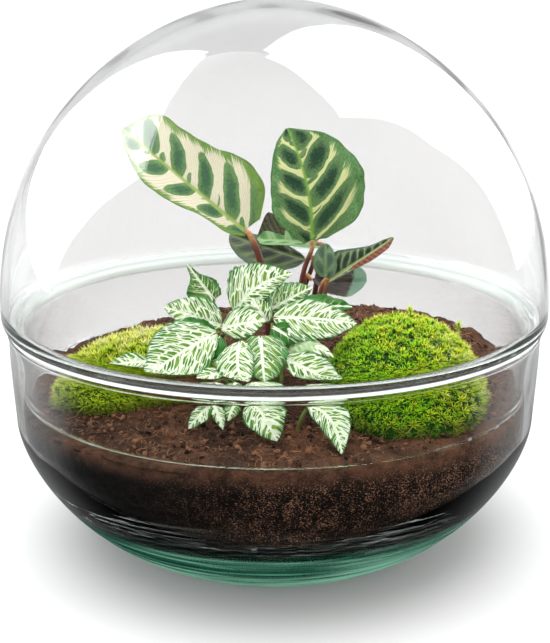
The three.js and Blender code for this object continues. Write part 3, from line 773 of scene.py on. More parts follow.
def crumbs():
    """Loose crumbs, most of them small; size is about a crumb's radius, 0.4 to 1.7 mm."""
    rng = np.random.RandomState(11)
    count = 4200
    corners = len(ICOSAHEDRON)
    faces = convex_faces(ICOSAHEDRON)
    x, y = scatter_on_soil(rng, count, 111.0)
    size = 0.4 + 1.3 * rng.random(count) ** 3.2
    z = crumbly_height(x, y) + 0.25 * size
    form = ICOSAHEDRON[None] * (0.65 + 0.6 * rng.random((count, corners, 1))) * size[:, None, None]
    form = form * (0.6 + 0.7 * rng.random((count, 1, 3)))
    turn = rng.random(count) * 2 * np.pi
    cos, sin = np.cos(turn)[:, None], np.sin(turn)[:, None]
    form = np.stack([form[..., 0] * cos - form[..., 1] * sin, form[..., 0] * sin + form[..., 1] * cos,
                     form[..., 2]], -1)
    points = form + np.stack([x, y, z], -1)[:, None]
    tone = np.repeat(rng.random(count), corners)[:, None]
    shape = Shape()
    first = np.arange(count)[:, None, None] * corners
    shape.add(points, [(faces[None] + first).reshape(-1, 3)], tone=tone)
    return shape.make("peat_crumbs", [crumb_paint("peat_crumb", (38, 21, 15), (158, 106, 78))])


def fibres():
    """Fine curved fibres, about 2 to 8 mm long, that lie on the peat."""
    rng = np.random.RandomState(12)
    shape = Shape()
    count = 3600
    farthest = 110.5
    share = np.linspace(-0.5, 0.5, 6)
    for x, y in zip(*scatter_on_soil(rng, count, 106.0)):
        length = 1.8 + 6.0 * rng.random() ** 1.6
        heading = rng.random() * 2 * np.pi
        turn = heading + rng.normal(0, 0.7) * share
        path_x = x + length * share * np.cos(turn)
        path_y = y + length * share * np.sin(turn)
        inside = np.minimum(1, farthest / np.hypot(path_x, path_y))
        path_x, path_y = path_x * inside, path_y * inside
        rise = 0.45 + rng.random() * 0.9 * (1 - (2 * share) ** 2) + rng.normal(0, 0.1, 6)
        path = np.stack([path_x, path_y, crumbly_height(path_x, path_y) + rise], -1)
        width = 0.08 + 0.12 * rng.random()
        tube(shape, path, [width * 0.6, width, width * 0.5], sides=3, tone=[rng.random()])
    return shape.make("peat_fibres", [crumb_paint("peat_fibre", (70, 40, 28), (206, 150, 110))])


# ---- Leaves ----

# Where along a leaf, from 0 to 1, its half widths are given when they are a list. Otherwise they are one
# number, and widest and full shape the outline. rolled holds a stretch along the leaf and one across it that
# show the underside.
STATIONS = np.array([0, 0.1, 0.3, 0.5, 0.7, 0.9, 1])
# A leaf's dimming, from 0 to 1, is painted shade: it darkens a leaf that lies in shade.
LEAF = dict(arch=0.08, fold=(0.1, 0.1), bend=0.0, widest=0.42, full=0.8, lobe=0.0, dim=0.0, rolled=None)
TO_VIEWER = (0, -1, 0.45)


def through_stations(values, t):
    """Smooth curve through half widths that are given at the stations, base to tip."""
    values = np.asarray(values, float)
    last = len(STATIONS) - 1
    before = np.maximum(np.arange(last + 1) - 1, 0)
    after = np.minimum(np.arange(last + 1) + 1, last)
    slope = (values[after] - values[before]) / (STATIONS[after] - STATIONS[before])
    k = np.clip(np.searchsorted(STATIONS, t, side="right") - 1, 0, last - 1)
    span = STATIONS[k + 1] - STATIONS[k]
    s = (t - STATIONS[k]) / span
    return ((2 * s ** 3 - 3 * s ** 2 + 1) * values[k] + (s ** 3 - 2 * s ** 2 + s) * span * slope[k]
            + (-2 * s ** 3 + 3 * s ** 2) * values[k + 1] + (s ** 3 - s ** 2) * span * slope[k + 1])


def leaf_seed(seed):
    """A number from 0 to 1 that sets a leaf's pattern apart from the others'."""
    return (seed * 0.137) % 1.0


def ramp(t, steepness):
    """1 along a leaf, falling to 0 at its base and tip."""
    return np.clip(steepness * t * (1 - t), 0, 1)


class Leaf:
    """A leaf's form: t runs from base to tip, and q from the left margin, -1, to the right one, 1."""

    def __init__(self, spec):
        for key, value in {**LEAF, **spec}.items():
            setattr(self, key, value)
        self.base = np.array(self.base, float)
        reach = np.array(self.tip, float) - self.base
        self.length = float(np.linalg.norm(reach))
        self.along = reach / self.length
        face = np.array(self.face, float)
        self.up = unit(face - self.along * face.dot(self.along))
        self.side = np.cross(self.along, self.up)

    def half_width(self, wide, t):
        """How far the blade reaches on one side, from a list of half widths or the largest one."""
        if not np.isscalar(wide):
            return through_stations(wide, t)
        power = math.log(0.5) / math.log(self.widest)
        return wide * (0.03 + 0.97 * np.clip(np.sin(np.pi * t ** power), 0, None) ** self.full)

    def point(self, t, q, margin=1.0, lift=0.0):
        """Points on the blade, with how far they lie ahead and across, and the half width there."""
        t, q = np.asarray(t, float), np.asarray(q, float)
        narrowest = 0.3
        hump = 4 * t * (1 - t)
        half = np.where(q < 0, self.half_width(self.left, t), self.half_width(self.right, t))
        across = half * q * margin
        fold = np.where(q < 0, self.fold[0], self.fold[1]) * np.abs(across) * np.abs(q) ** 0.3
        ahead = t * self.length - self.lobe * self.length * (1 - t) ** 5 * np.abs(q) ** 1.5
        rise = self.length * self.arch * hump + fold + lift
        aside = self.length * self.bend * hump + across
        place = (self.base + ahead[..., None] * self.along + rise[..., None] * self.up
                 + aside[..., None] * self.side)
        return place, ahead, across, np.maximum(half, narrowest)


def blade(shape, spec, seed, rows, strips, thickness, relief, teeth):
    """A thin closed blade, with its margin, its relief and the values that its veins are painted from.

    rows holds how many rows a millimetre of its length gets, and the fewest and the most of them. Material 0
    is its upper side and its edge, material 1 the underside and what is rolled over."""
    leaf = Leaf(spec)
    steps = int(np.clip(leaf.length * rows[0], *rows[1:]))
    t, q = np.meshgrid(np.linspace(0, 1, steps + 1), np.linspace(-1, 1, strips + 1), indexing="ij")
    margin = 1 + teeth(t, np.sign(q), seed) * np.abs(q) ** 6 * ramp(t, 12)
    _, ahead, across, half = leaf.point(t, q)
    lift = relief(leaf, t, q, ahead, across, half, seed)
    place, ahead, across, half = leaf.point(t, q, margin, lift)
    edge = thickness * (0.35 + 0.65 * (1 - np.abs(q) ** 4))[..., None] / 2
    points = np.concatenate([place + edge * leaf.up, place - edge * leaf.up])
    columns = strips + 1
    face = grid_faces(steps + 1, columns)
    below = t.size
    rim = ([i * columns for i in range(steps + 1)] + [steps * columns + j for j in range(1, columns)]
           + [i * columns + strips for i in range(steps - 1, -1, -1)] + list(range(strips - 1, 0, -1)))
    rim = np.array(rim)
    after = np.roll(rim, -1)
    border = np.stack([rim, after, after + below, rim + below], -1)
    leaf_mm = np.stack([ahead, across, half], -1).reshape(-1, 3)
    # The third column is the leaf's dimming, painted shade.
    leaf_share = np.stack([t, np.full_like(t, leaf_seed(seed)), np.full_like(t, leaf.dim)], -1).reshape(-1, 3)
    first = shape.count
    shape.add(points, [face[:, ::-1]], 0, leaf_mm=np.vstack([leaf_mm] * 2),
              leaf_share=np.vstack([leaf_share] * 2), run=1)
    if leaf.rolled:
        (start, end), (low, high) = leaf.rolled
        near_t, near_q = t[:-1, :-1], q[:-1, :-1]
        turned_up = (near_t >= start) & (near_t < end) & (near_q >= low) & (near_q < high)
        shape.paints[-1][turned_up.ravel()] = 1
    shape.add_faces(face, 1, first + below)
    shape.add_faces(border, 0, first)
    return leaf


def stem_path(root, *rest):
    """Points of a stem from the bottom of its hole, straight up out of the peat and on to the given ones."""
    x, y = root
    z = float(soil_height(np.float64(x), np.float64(y)))
    return [(x, y, z - HOLE_DEPTH + 1), (x, y, z - 4), (x, y, z + 2.5), *rest]


# ---- Nerve plant (Fittonia) ----

FITTONIA = [
    dict(name="left", root=(-18, -44), tip=(-22, -49, 116), leaves=[
        dict(base=(-23, -44, 119), tip=(-48, -40, 126.5), left=6.5, right=9.5, face=(-0.25, -1, 0.55),
             widest=0.36),
        dict(base=(-23, -50, 119.5), tip=(-4, -53, 124), left=7.5, right=7, face=(0.1, -1, 0.7), widest=0.5),
        dict(base=(-24.5, -56, 119.5), tip=(-55, -64, 101.5), left=13, right=14, face=(-0.25, -1, 0.55),
             widest=0.45),
        dict(base=(-25, -48, 117.5), tip=(-44.5, -51, 121.5), left=4, right=4.5, face=(-0.2, -1, 0.8), dim=0.9),
        dict(base=(-23.5, -55, 118), tip=(-30, -62, 108), left=6, right=7, face=(-0.3, -1, 0.4), dim=0.9)]),
    dict(name="back_left", root=(-24, -28), tip=(-28, -25, 119), leaves=[
        dict(base=(-27, -24, 125.5), tip=(-38.7, -22, 141.4), left=[3, 6, 8.5, 7.5, 2.8, 1.2, 0.4],
             right=[4, 5.4, 6, 4.4, 1.7, 1, 0.4], face=(0.1, -1, 0.3), arch=-0.03, dim=0.45),
        dict(base=(-29, -20, 115), tip=(-44, 4, 104), left=9, right=9, face=(-0.4, 0.6, 0.9))]),
    dict(name="top", root=(-11, -34), tip=(-16, -38, 120), leaves=[
        dict(base=(-17.5, -40, 124), tip=(7.5, -34, 140), left=12.5, right=7, face=(0.1, -1, 0.45), bend=-0.11,
             widest=0.34),
        dict(base=(-12, -28, 116), tip=(-14, 2, 103), left=10, right=10, face=(-0.1, 0.7, 0.9))]),
    dict(name="right", root=(1, -38), tip=(-1, -41, 119), leaves=[
        dict(base=(-3, -34, 123), tip=(17, -21, 130.5), left=8, right=4.5, face=(0, -1, 0.5), fold=(-0.1, -0.1),
             dim=0.3),
        dict(base=(-0.5, -46, 123.5), tip=(35, -50, 122), left=8.5, right=10.5, face=(0.15, -1, 0.6)),
        dict(base=(7, -36, 123), tip=(34, -34, 125), left=6.5, right=6, face=(0.2, -0.8, 0.9), dim=0.8),
        dict(base=(-3, -46, 121.5), tip=(-9.5, -44, 131.5), left=5, right=5, face=(0, -1, 0.4)),
        dict(base=(-1, -50, 120.5), tip=(9.5, -54, 114.5), left=5, right=6.5, face=(0, -1, 0.7), dim=0.9),
        dict(base=(5, -30, 114), tip=(17, -3, 102), left=9, right=9, face=(0.3, 0.6, 0.9))]),
    dict(name="middle", root=(-9, -52), tip=(-10, -62, 113), leaves=[
        dict(base=(-14, -63, 118), tip=(-11, -78, 100), left=7, right=9.5, face=(-0.1, -1, 0.4), bend=0.1),
        dict(base=(-6, -61, 119.5), tip=(-4, -76, 99), left=[5, 9, 11, 9.5, 6.5, 2.8, 0.4],
             right=[4, 6.5, 7.5, 6.8, 4.6, 2, 0.4], face=(0.1, -1, 0.4), dim=0.35)]),
    dict(name="low_right", root=(3, -54), tip=(3, -59, 107), leaves=[
        dict(base=(3.5, -62, 110.5), tip=(28.5, -70, 99), left=8, right=7, face=(0.15, -1, 0.5), widest=0.5),
        dict(base=(4.5, -50, 109), tip=(25, -60, 110), left=6, right=4.5, face=(0.2, -0.7, 1), arch=0.25,
             fold=(-0.3, -0.3), rolled=((0, 0.66), (-1, 1)))]),
    dict(name="low_left", root=(-19, -62), tip=(-21, -70, 100), leaves=[
        dict(base=(-22.5, -71, 107), tip=(-32.5, -77, 102.5), left=5, right=4.5, face=(-0.2, -1, 0.5)),
        dict(base=(-26, -72, 94.5), tip=(-35.5, -77, 84.5), left=4, right=3.5, face=(-0.2, -1, 0.5), dim=0.1),
        dict(base=(-25, -76, 97), tip=(-21, -82, 86), left=3, right=2.5, face=TO_VIEWER),
        dict(base=(-16, -76, 98), tip=(-19, -80, 89), left=3.5, right=3.5, face=TO_VIEWER, dim=0.3)]),
    dict(name="front", root=(-6, -68), tip=(-8, -75, 97), leaves=[
        dict(base=(-9, -78, 99.5), tip=(1, -90, 84), left=10, right=8, face=TO_VIEWER)]),
    dict(name="far_left", root=(-32, -41), path=[(-36, -40, 96)], tip=(-50, -38, 101), leaves=[
        dict(base=(-55.5, -38, 101), tip=(-73.5, -38, 98.5), left=4, right=4.5, face=(-0.1, -1, 0.9))]),
    dict(name="front_right", root=(10, -74), tip=(13, -80, 95), leaves=[
        dict(base=(14, -84, 98.5), tip=(26.5, -102, 83), left=8, right=5.5, face=(0.1, -1, 0.5), bend=-0.12)]),
]


def crenate(t, side, seed):
    """Shallow rounded teeth and a slow waver along the margin."""
    teeth = np.abs(np.sin(np.pi * (10 * t + 0.3 * side))) - 0.64
    return 0.09 * teeth + 0.04 * np.sin(2 * np.pi * (2.3 * t + 0.21 * seed) + side)


def quilted(leaf, t, q, ahead, across, half, seed):
    """Cushions between the sunken side veins, a furrow at the midrib and a wavy margin."""
    out = np.abs(across)
    slant = ahead - NERVE["slant"] * out - NERVE["curve"] * out * np.abs(q)
    phase = slant / NERVE["period"] + leaf_seed(seed) * NERVE["shift"] + 0.5 * (across > 0)
    scale = min(1.0, leaf.length / 24)
    cushions = 0.8 * scale * np.abs(np.sin(np.pi * phase)) ** 0.7 * (1 - np.abs(q) ** 3)
    furrow = -0.5 * scale * np.exp(-(across / 0.9) ** 2)
    wave = 0.7 * scale * np.sin(2 * np.pi * (3.1 * t + 0.3 * seed) + 0.8 * np.sign(q)) * np.abs(q) ** 3
    return (cushions + furrow + wave) * ramp(t, 8)


NERVE_BLADE = dict(rows=(1.5, 20, 56), strips=30, thickness=0.36, relief=quilted, teeth=crenate)
STEM_RADII = [1.1, 1.0, 0.8]
LEAF_STALK_RADII = [0.75, 0.7, 0.35]


def fittonia():
    """Each stem as one piece, with its leaves on short stalks of their own."""
    under = under_paint("nerve_under", (150, 182, 120), (196, 214, 170))
    bark = stalk_paint("nerve_stem", (120, 110, 62), (146, 172, 92), (98, 122, 52))
    materials = [nerve_paint(), under, bark]
    no_leaf = dict(leaf_mm=(0, 0, 1), leaf_share=0)
    seed = 0
    for stem in FITTONIA:
        shape = Shape()
        foot = np.array(stem["tip"], float)
        path = catmull_rom(stem_path(stem["root"], *stem.get("path", []), stem["tip"]), 6)
        tube(shape, path, STEM_RADII, paint=2, knobs=0.12, seed=seed, **no_leaf)
        for spec in stem["leaves"]:
            seed += 1
            leaf = blade(shape, spec, seed, **NERVE_BLADE)
            start = leaf.point(0.0, 0.0)[0]
            inner = leaf.point(0.12, 0.0)[0] - leaf.up * 0.3
            middle = foot + 0.55 * (start - foot) + (0, 0, 0.8)
            path = catmull_rom([foot, middle, start - leaf.up * 0.2, inner], 5)
            tube(shape, path, LEAF_STALK_RADII, sides=8, paint=2, knobs=0.08, seed=seed, **no_leaf)
        shape.make(f"nerve_plant_{stem['name']}", materials, [f"fittonia_stem_{stem['name']}"])


# ---- Peacock plant (Calathea) ----

CALATHEA = [
    dict(name="left", root=(-2, 28), path=[(-5.5, 25, 125.7)], thick=[2.0, 1.9, 1.2], kind="pale", blade=dict(
        base=(-14, 26, 146.5), tip=(-71, 20, 196.5), face=(-0.15, -1, 0.25),
        left=[2, 6, 7.6, 11.4, 12.4, 6.2, 0.5], right=[9, 22, 25.5, 21.5, 18, 15.5, 0.5],
        arch=0.02, fold=(0.5, 0.12), lobe=0.02)),
    dict(name="right", root=(8, 27), path=[(13.5, 26, 123.5)], kind="deep", blade=dict(
        base=(18, 28, 141.5), tip=(6, 22, 196), face=(0.05, -1, 0.1),
        left=[4, 10, 17.5, 18, 14.2, 8.2, 1], right=[7, 19.5, 26, 27, 23.7, 15.5, 1],
        arch=0.03, fold=(0.25, 0.15), bend=0.055, lobe=0.01)),
    dict(name="behind", root=(4, 41), path=[], kind="dark", blade=dict(
        base=(15.1, 39, 129.2), tip=(-22.1, 47, 140.3), face=(0.2, -0.9, 1), left=15, right=5.5, arch=0.0,
        widest=0.5, full=0.55, dim=0.3)),
    dict(name="upper_behind", root=(17, 42), path=[(22, 39, 126)], kind="fresh", blade=dict(
        base=(20, 36, 138.2), tip=(-8.5, 42, 138.8), face=(0, -0.35, 1), left=[3.5, 5, 5, 5, 5, 4.5, 0.5],
        right=[3.5, 5, 4.5, 5, 8, 10, 2], arch=0.02, fold=(0, 0.9), lobe=0.15, rolled=((0.52, 1), (0.35, 1)))),
    dict(name="low_right", root=(16, 22), path=[], kind="ribbed", blade=dict(
        base=(25.5, 20, 122.8), tip=(55.3, 8, 146.9), face=(-0.35, -1, 0.5),
        left=[5, 11, 9.5, 6.5, 3, 1.6, 0.4], right=[1.5, 1.6, 2.2, 3, 3.7, 3, 0.5], arch=0.0, fold=(0.2, 0.2),
        rolled=((0.35, 1), (0.1, 1)))),
    dict(name="rolled", root=(19, 13), path=[], kind="grey", blade=dict(
        base=(24.4, 17, 125.5), tip=(24.2, 14, 143), face=(-0.3, -1, 0.3), left=5.8, right=5.8, arch=0.05,
        full=0.5)),
    dict(name="cupped", root=(12.5, 33), path=[], kind="cup", blade=dict(
        base=(18.5, 29.5, 121.5), tip=(44, 20, 123), face=(0, -0.8, 1), left=9, right=11, arch=-0.04,
        fold=(0.2, 0.2), widest=0.66, full=0.5)),
]

# Colours of the ovals, the cream stripes, the green margin and the midrib, and the pattern's measures.
PEACOCK_KINDS = {
    "pale": dict(oval=((74, 112, 84), (124, 160, 100)), cream=((255, 246, 220), (214, 180, 156)),
                 margin=((104, 146, 62), (146, 176, 92)), rib=(176, 196, 104),
                 period=16.5, cream_share=0.80, oval_width=0.30),
    "deep": dict(oval=((40, 72, 54), (112, 146, 92)), cream=((244, 240, 176), (176, 178, 112)),
                 margin=((48, 112, 44), (136, 170, 116)), rib=(132, 178, 72),
                 period=14.0, cream_share=0.66, oval_width=0.43),
    # The leaf behind lies in shade: its pattern is given in darker colours, painted shade.
    "dark": dict(oval=((38, 54, 36), (86, 104, 66)), cream=((124, 140, 84), (86, 106, 62)),
                 margin=((58, 80, 56), (100, 122, 88)), rib=(136, 150, 88),
                 period=9.0, cream_share=0.7, oval_width=0.42),
    "ribbed": dict(oval=((44, 60, 46), (84, 102, 80)), cream=((156, 170, 134), (104, 126, 96)),
                   margin=((60, 84, 62), (98, 124, 96)), rib=(190, 196, 140),
                   period=4.6, cream_share=0.8, oval_width=0.40),
    "fresh": dict(oval=((84, 138, 74), (120, 170, 104)), cream=((160, 196, 140), (136, 176, 116)),
                  margin=((116, 168, 100), (156, 196, 140)), rib=(176, 206, 150),
                  period=8.0, cream_share=0.6, oval_width=0.3),
    "grey": dict(oval=((88, 112, 92), (110, 134, 112)), cream=((140, 160, 128), (124, 148, 118)),
                 margin=((100, 130, 106), (130, 158, 130)), rib=(140, 166, 120),
                 period=9.0, cream_share=0.7, oval_width=0.36),
}


def wavy(t, side, seed):
    """A slow waver along the margin with a fine one over it."""
    slow = 0.02 * np.sin(2 * np.pi * (2.4 * t + 0.31 * seed) + side)
    return slow + 0.008 * np.sin(2 * np.pi * 7.1 * t + seed)


def ribbed(leaf, t, q, ahead, across, half, seed):
    """A grooved midrib, faint ribs along the side veins and a slow wave towards the margin."""
    out = np.abs(across)
    slant = ahead - PEACOCK["slant"] * out - PEACOCK["curve"] * out * np.abs(q)
    ribs = 0.06 * np.sin(slant * PEACOCK["ribs"])
    furrow = -0.7 * np.exp(-(across / 1.3) ** 2)
    wave = 0.035 * half * np.sin(2 * np.pi * (2.2 * t + 0.17 * seed) + 1.1 * np.sign(q)) * np.abs(q) ** 2
    return (ribs + furrow + wave) * ramp(t, 8)


PEACOCK_BLADE = dict(rows=(1.3, 30, 96), strips=56, thickness=0.42, relief=ribbed, teeth=wavy)
PEACOCK_STALK_RADII = [1.5, 1.35, 0.9]


def calathea():
    """Each blade and each stalk as a piece of its own."""
    paints = {kind: peacock_paint(f"peacock_{kind}", **look) for kind, look in PEACOCK_KINDS.items()}
    paints["cup"] = cup_paint()
    under = under_paint("peacock_under", (90, 36, 32), (172, 104, 80))
    # The rolled-over end of the upper leaf behind shows its underside dark, in painted shade.
    shade = under_paint("peacock_shade", (26, 30, 24), (92, 92, 62))
    stalk = stalk_paint("peacock_stalk", (98, 46, 42), (236, 172, 118), (130, 66, 48))
    for seed, plant in enumerate(CALATHEA, start=40):
        name, kind = plant["name"], plant["kind"]
        shape = Shape()
        leaf = blade(shape, plant["blade"], seed, **PEACOCK_BLADE)
        materials = [paints[kind], shade if kind == "fresh" else under]
        shape.make(f"peacock_leaf_{name}", materials, [f"calathea_leaf_{name}"])
        start = leaf.point(0.0, 0.0)[0]
        back = unit(start - leaf.point(0.05, 0.0)[0])
        end = start + back * 0.25
        neck = start + back * 4 - (0, 0, 1)
        shape = Shape()
        path = catmull_rom(stem_path(plant["root"], *plant["path"], neck, end), 8)
        tube(shape, path, plant.get("thick", PEACOCK_STALK_RADII), sides=14, knobs=0.05, seed=seed)
        shape.make(f"peacock_stalk_{name}", [stalk], [f"calathea_stalk_{name}"])


# ---- Moss ----

# bleach says how much paler a cushion grows towards the right and towards the back. A sprig is a taller shoot,
# given by its foot and its height.
MOSS = [
    dict(name="right", centre=(57, -38), across=35, along=46, turn=0, top=118, shoots=1500, seed=21,
         needle=1.0, bleach=(0.8, 0.35), sprigs=[((61.5, -3, 104), 11), ((83, -13, 98), 11), ((78, -8, 98), 7)]),
    dict(name="left", centre=(-63, -9), across=44, along=27, turn=50, top=102, shoots=1000, seed=22,
         needle=1.4, bleach=(-0.1, 0.6), sprigs=[]),
]
SHOOT_SPACING = 2.15
SHOOT_LEAVES = 13
GOLDEN_TURN = 2.39996
NEEDLE_LENGTH = 3.0
NEEDLE_WIDTH = 0.33
NEEDLE_THICKNESS = 0.16
SPRIG_STEP = 0.9
SPRIG_WAY = (0.12, 0, 1)
SPRIG_NORMAL = (0.12, 0, 1.2)


class Cushion:
    """A dome of moss on an oval of soil."""

    def __init__(self, spec):
        for key, value in spec.items():
            setattr(self, key, value)
        heel = math.radians(self.turn)
        self.cos, self.sin = math.cos(heel), math.sin(heel)
        self.rest = float(soil_height(np.float64(self.centre[0]), np.float64(self.centre[1]))) - 3

    def surface(self, share, angle):
        """Points on the cushion; share runs from 0 on its crown to 1 at its rim."""
        u, v = share * np.cos(angle), share * np.sin(angle)
        x = self.centre[0] + u * self.across * self.cos - v * self.along * self.sin
        y = self.centre[1] + u * self.across * self.sin + v * self.along * self.cos
        tufts = np.sin(x * 0.62) * np.sin(y * 0.62 + 0.7) + 0.6 * np.sin(x * 0.31 + y * 0.4)
        dome = np.sqrt(np.clip(1 - share ** 2.2, 0, 1))
        z = self.rest + (self.top - self.rest) * dome + np.where(share < 1, 1.1 * tufts, 0)
        return np.stack([x, y, z], -1)

    def normal(self, share, angle):
        """The way out of the cushion, never downwards."""
        step = 0.004
        inner = self.surface(np.clip(share - step, 0, 1), angle)
        outer = self.surface(np.clip(share + step, 0, 0.9995), angle)
        before = self.surface(share, angle - 0.01)
        after = self.surface(share, angle + 0.01)
        normal = np.cross(outer - inner, after - before)
        normal = np.where(normal[..., 2:] < 0, -normal, normal)
        return unit(normal + (0, 0, 1e-6))


def spread_shoots(cushion, rng):
    """Places over the cushion that keep their distance from each other, denser towards its rim."""
    wanted = cushion.shoots
    tries = wanted * 9
    share = np.sqrt(rng.random(tries)) * 0.995
    share = 1 - (1 - share) ** 1.25
    angle = rng.random(tries) * 2 * np.pi
    places = cushion.surface(share, angle)
    high = places[:, 2] > soil_height(places[:, 0], places[:, 1]) + 0.4
    share, angle, places = share[high], angle[high], places[high]
    chosen = []
    for k, place in enumerate(places):
        if len(chosen) == wanted:
            break
        if np.all(np.sum((places[chosen] - place) ** 2, axis=1) >= SHOOT_SPACING ** 2):
            chosen.append(k)
    return share[chosen], angle[chosen], places[chosen]


def moss_core(shape, cushion):
    """The closed, lumpy heart of a cushion, let into the peat."""
    sectors, rings = 120, 44
    inset, depth = 0.9, 3.5
    share, angle = np.meshgrid(np.linspace(0.02, 1, rings), around(sectors), indexing="ij")
    skin = cushion.surface(share, angle)
    lumps = noise_at(skin.reshape(-1, 3), 2.4, 6).reshape(share.shape)
    skin[..., 2] += 0.7 * lumps - inset
    foot = skin[-1].copy()
    foot[:, 2] = soil_height(foot[:, 0], foot[:, 1]) - depth
    lowest = foot[:, 2].min()
    skin[..., 2] = np.maximum(skin[..., 2], lowest + 0.5)
    ends = (rings + 1) * sectors
    points = np.vstack([skin.reshape(-1, 3), foot, [cushion.surface(0.0, 0.0) - (0, 0, inset)],
                        [[*cushion.centre, lowest]]])
    k = np.arange(sectors)
    after = (k + 1) % sectors
    last = (rings - 1) * sectors
    skirt = np.stack([last + k, last + sectors + k, last + sectors + after, last + after], -1)
    faces = [grid_faces(rings, sectors, closed_columns=True), fan(ends, k, after), skirt,
             fan(ends + 1, last + sectors + after, last + sectors + k)]
    # The core has no tip, so it takes the dark colour of the cushion's depth, which is painted shade.
    shape.add(points, faces, tone=(0, 0, 1), bleach=0)


def moss_shoots(shape, cushion):
    """Star-like shoots all over a cushion, each a spiral of pointed leaves.

    The leaves lean 74 degrees away from the shoot at its foot and 22 degrees at its tip."""
    rng = np.random.RandomState(cushion.seed)
    share, angle, places = spread_shoots(cushion, rng)
    normal = cushion.normal(share, angle)
    for foot, height in cushion.sprigs:
        rise = np.arange(0, height, SPRIG_STEP)[:, None]
        places = np.vstack([places, foot + rise * SPRIG_WAY])
        normal = np.vstack([normal, np.ones_like(rise) * SPRIG_NORMAL])
    count, leaves = len(places), SHOOT_LEAVES
    axis = unit(normal * 0.8 + (0, 0, 0.45) + rng.normal(0, 0.16, (count, 3)))
    helper = np.where(np.abs(axis[:, :1]) < 0.9, [[1.0, 0, 0]], [[0, 1.0, 0]])
    u = unit(np.cross(axis, helper))[:, None]
    v = np.cross(axis, u[:, 0])[:, None]
    size = cushion.needle * (0.7 + 0.7 * rng.random(count))[:, None]
    places = places + normal * (1.1 * rng.random((count, 1)) ** 2)
    turn = rng.random(count)[:, None] * 2 * np.pi + np.arange(leaves) * GOLDEN_TURN
    order = np.arange(leaves) / (leaves - 1)
    lean = np.radians(74 - 52 * order) + rng.normal(0, 0.14, (count, leaves))
    length = (NEEDLE_LENGTH - 0.8 * order) * size * (0.85 + 0.3 * rng.random((count, leaves)))
    lift = (order * 0.9 * size)[..., None] * axis[:, None]
    cos, sin = np.cos(turn)[..., None], np.sin(turn)[..., None]
    aside = -sin * u + cos * v
    out = np.sin(lean)[..., None] * (cos * u + sin * v) + np.cos(lean)[..., None] * axis[:, None]
    root = places[:, None] + lift - axis[:, None] * 0.35
    corners = [aside * NEEDLE_WIDTH, -aside * NEEDLE_WIDTH, np.cross(out, aside) * NEEDLE_THICKNESS]
    tip = root + out * length[..., None]
    spike = np.stack([root + corner * size[..., None] for corner in corners] + [tip], axis=2)
    first = np.arange(count * leaves)[:, None, None] * 4
    faces = np.array([(0, 1, 3), (1, 2, 3), (2, 0, 3), (0, 2, 1)])[None] + first
    to_right, to_back = cushion.bleach
    east = (places[:, 0] - cushion.centre[0]) / cushion.across
    north = (places[:, 1] - cushion.centre[1]) / cushion.along
    above = (places[:, 2] - soil_height(places[:, 0], places[:, 1])) / (cushion.top - cushion.rest)
    # The second column is 1 only at a needle's tip; the rest of the needle is darkened by painted shade.
    tone = np.stack([np.repeat(rng.random(count), leaves * 4), np.tile([0, 0, 0, 1.0], count * leaves),
                     np.repeat(above, leaves * 4)], -1)
    bleach = np.repeat(np.clip(east * to_right + north * to_back, -1, 1), leaves * 4)
    shape.add(spike.reshape(-1, 3), [faces.reshape(-1, 3)], tone=tone, bleach=bleach[:, None])


def moss_cushion(spec, paint):
    """A cushion as one piece."""
    cushion = Cushion(spec)
    shape = Shape()
    moss_core(shape, cushion)
    moss_shoots(shape, cushion)
    return shape.make(f"moss_{cushion.name}", [paint], [f"moss_cushion_{cushion.name}"])


# ---- Stage, in metres and degrees, except for the camera's place ----

CAMERA_PLACE = (0.24, -625.93, 286.83)
CAMERA_DOWN = 15.91
CAMERA_LENS = 78.16
FLOOR_SIZE = 9.0
FLOOR_LEVEL = -0.0003
BOX_RADIANCE = 5.0
AIM = (0, 0, 0.15)
SUNS = [dict(name="overhead", strength=2.4, spread=50, tilt=12, lean=-4),
        dict(name="front_fill", strength=1.5, spread=60, tilt=62, lean=-10)]
SOFTBOXES = [
    dict(name="left_box", direction=(-0.79, 0.38, 0.48), distance=1.275, width=1.25, height=1.4, roll=-16),
    dict(name="right_box", direction=(0.585, 0.53, 0.615), distance=1.25, width=1.05, height=2.1, roll=0),
]


def camera():
    """The photo's view."""
    data = bpy.data.cameras.new("camera")
    data.lens = CAMERA_LENS
    data.sensor_width = 36.0
    data.clip_start = 0.01
    data.clip_end = 60.0
    viewer = link("camera", data)
    viewer.location = [value * MM for value in CAMERA_PLACE]
    viewer.rotation_euler = (math.radians(90 - CAMERA_DOWN), 0, 0)
    bpy.context.scene.camera = viewer


def mirrored_once(paint):
    """1 for light that the glass has mirrored once, as on its faces, and 0 for any other."""
    mirrors = paint.field("LightPath", output="Glossy Depth")
    return mirrors.above(0.5) * (1 - mirrors.above(1.5))


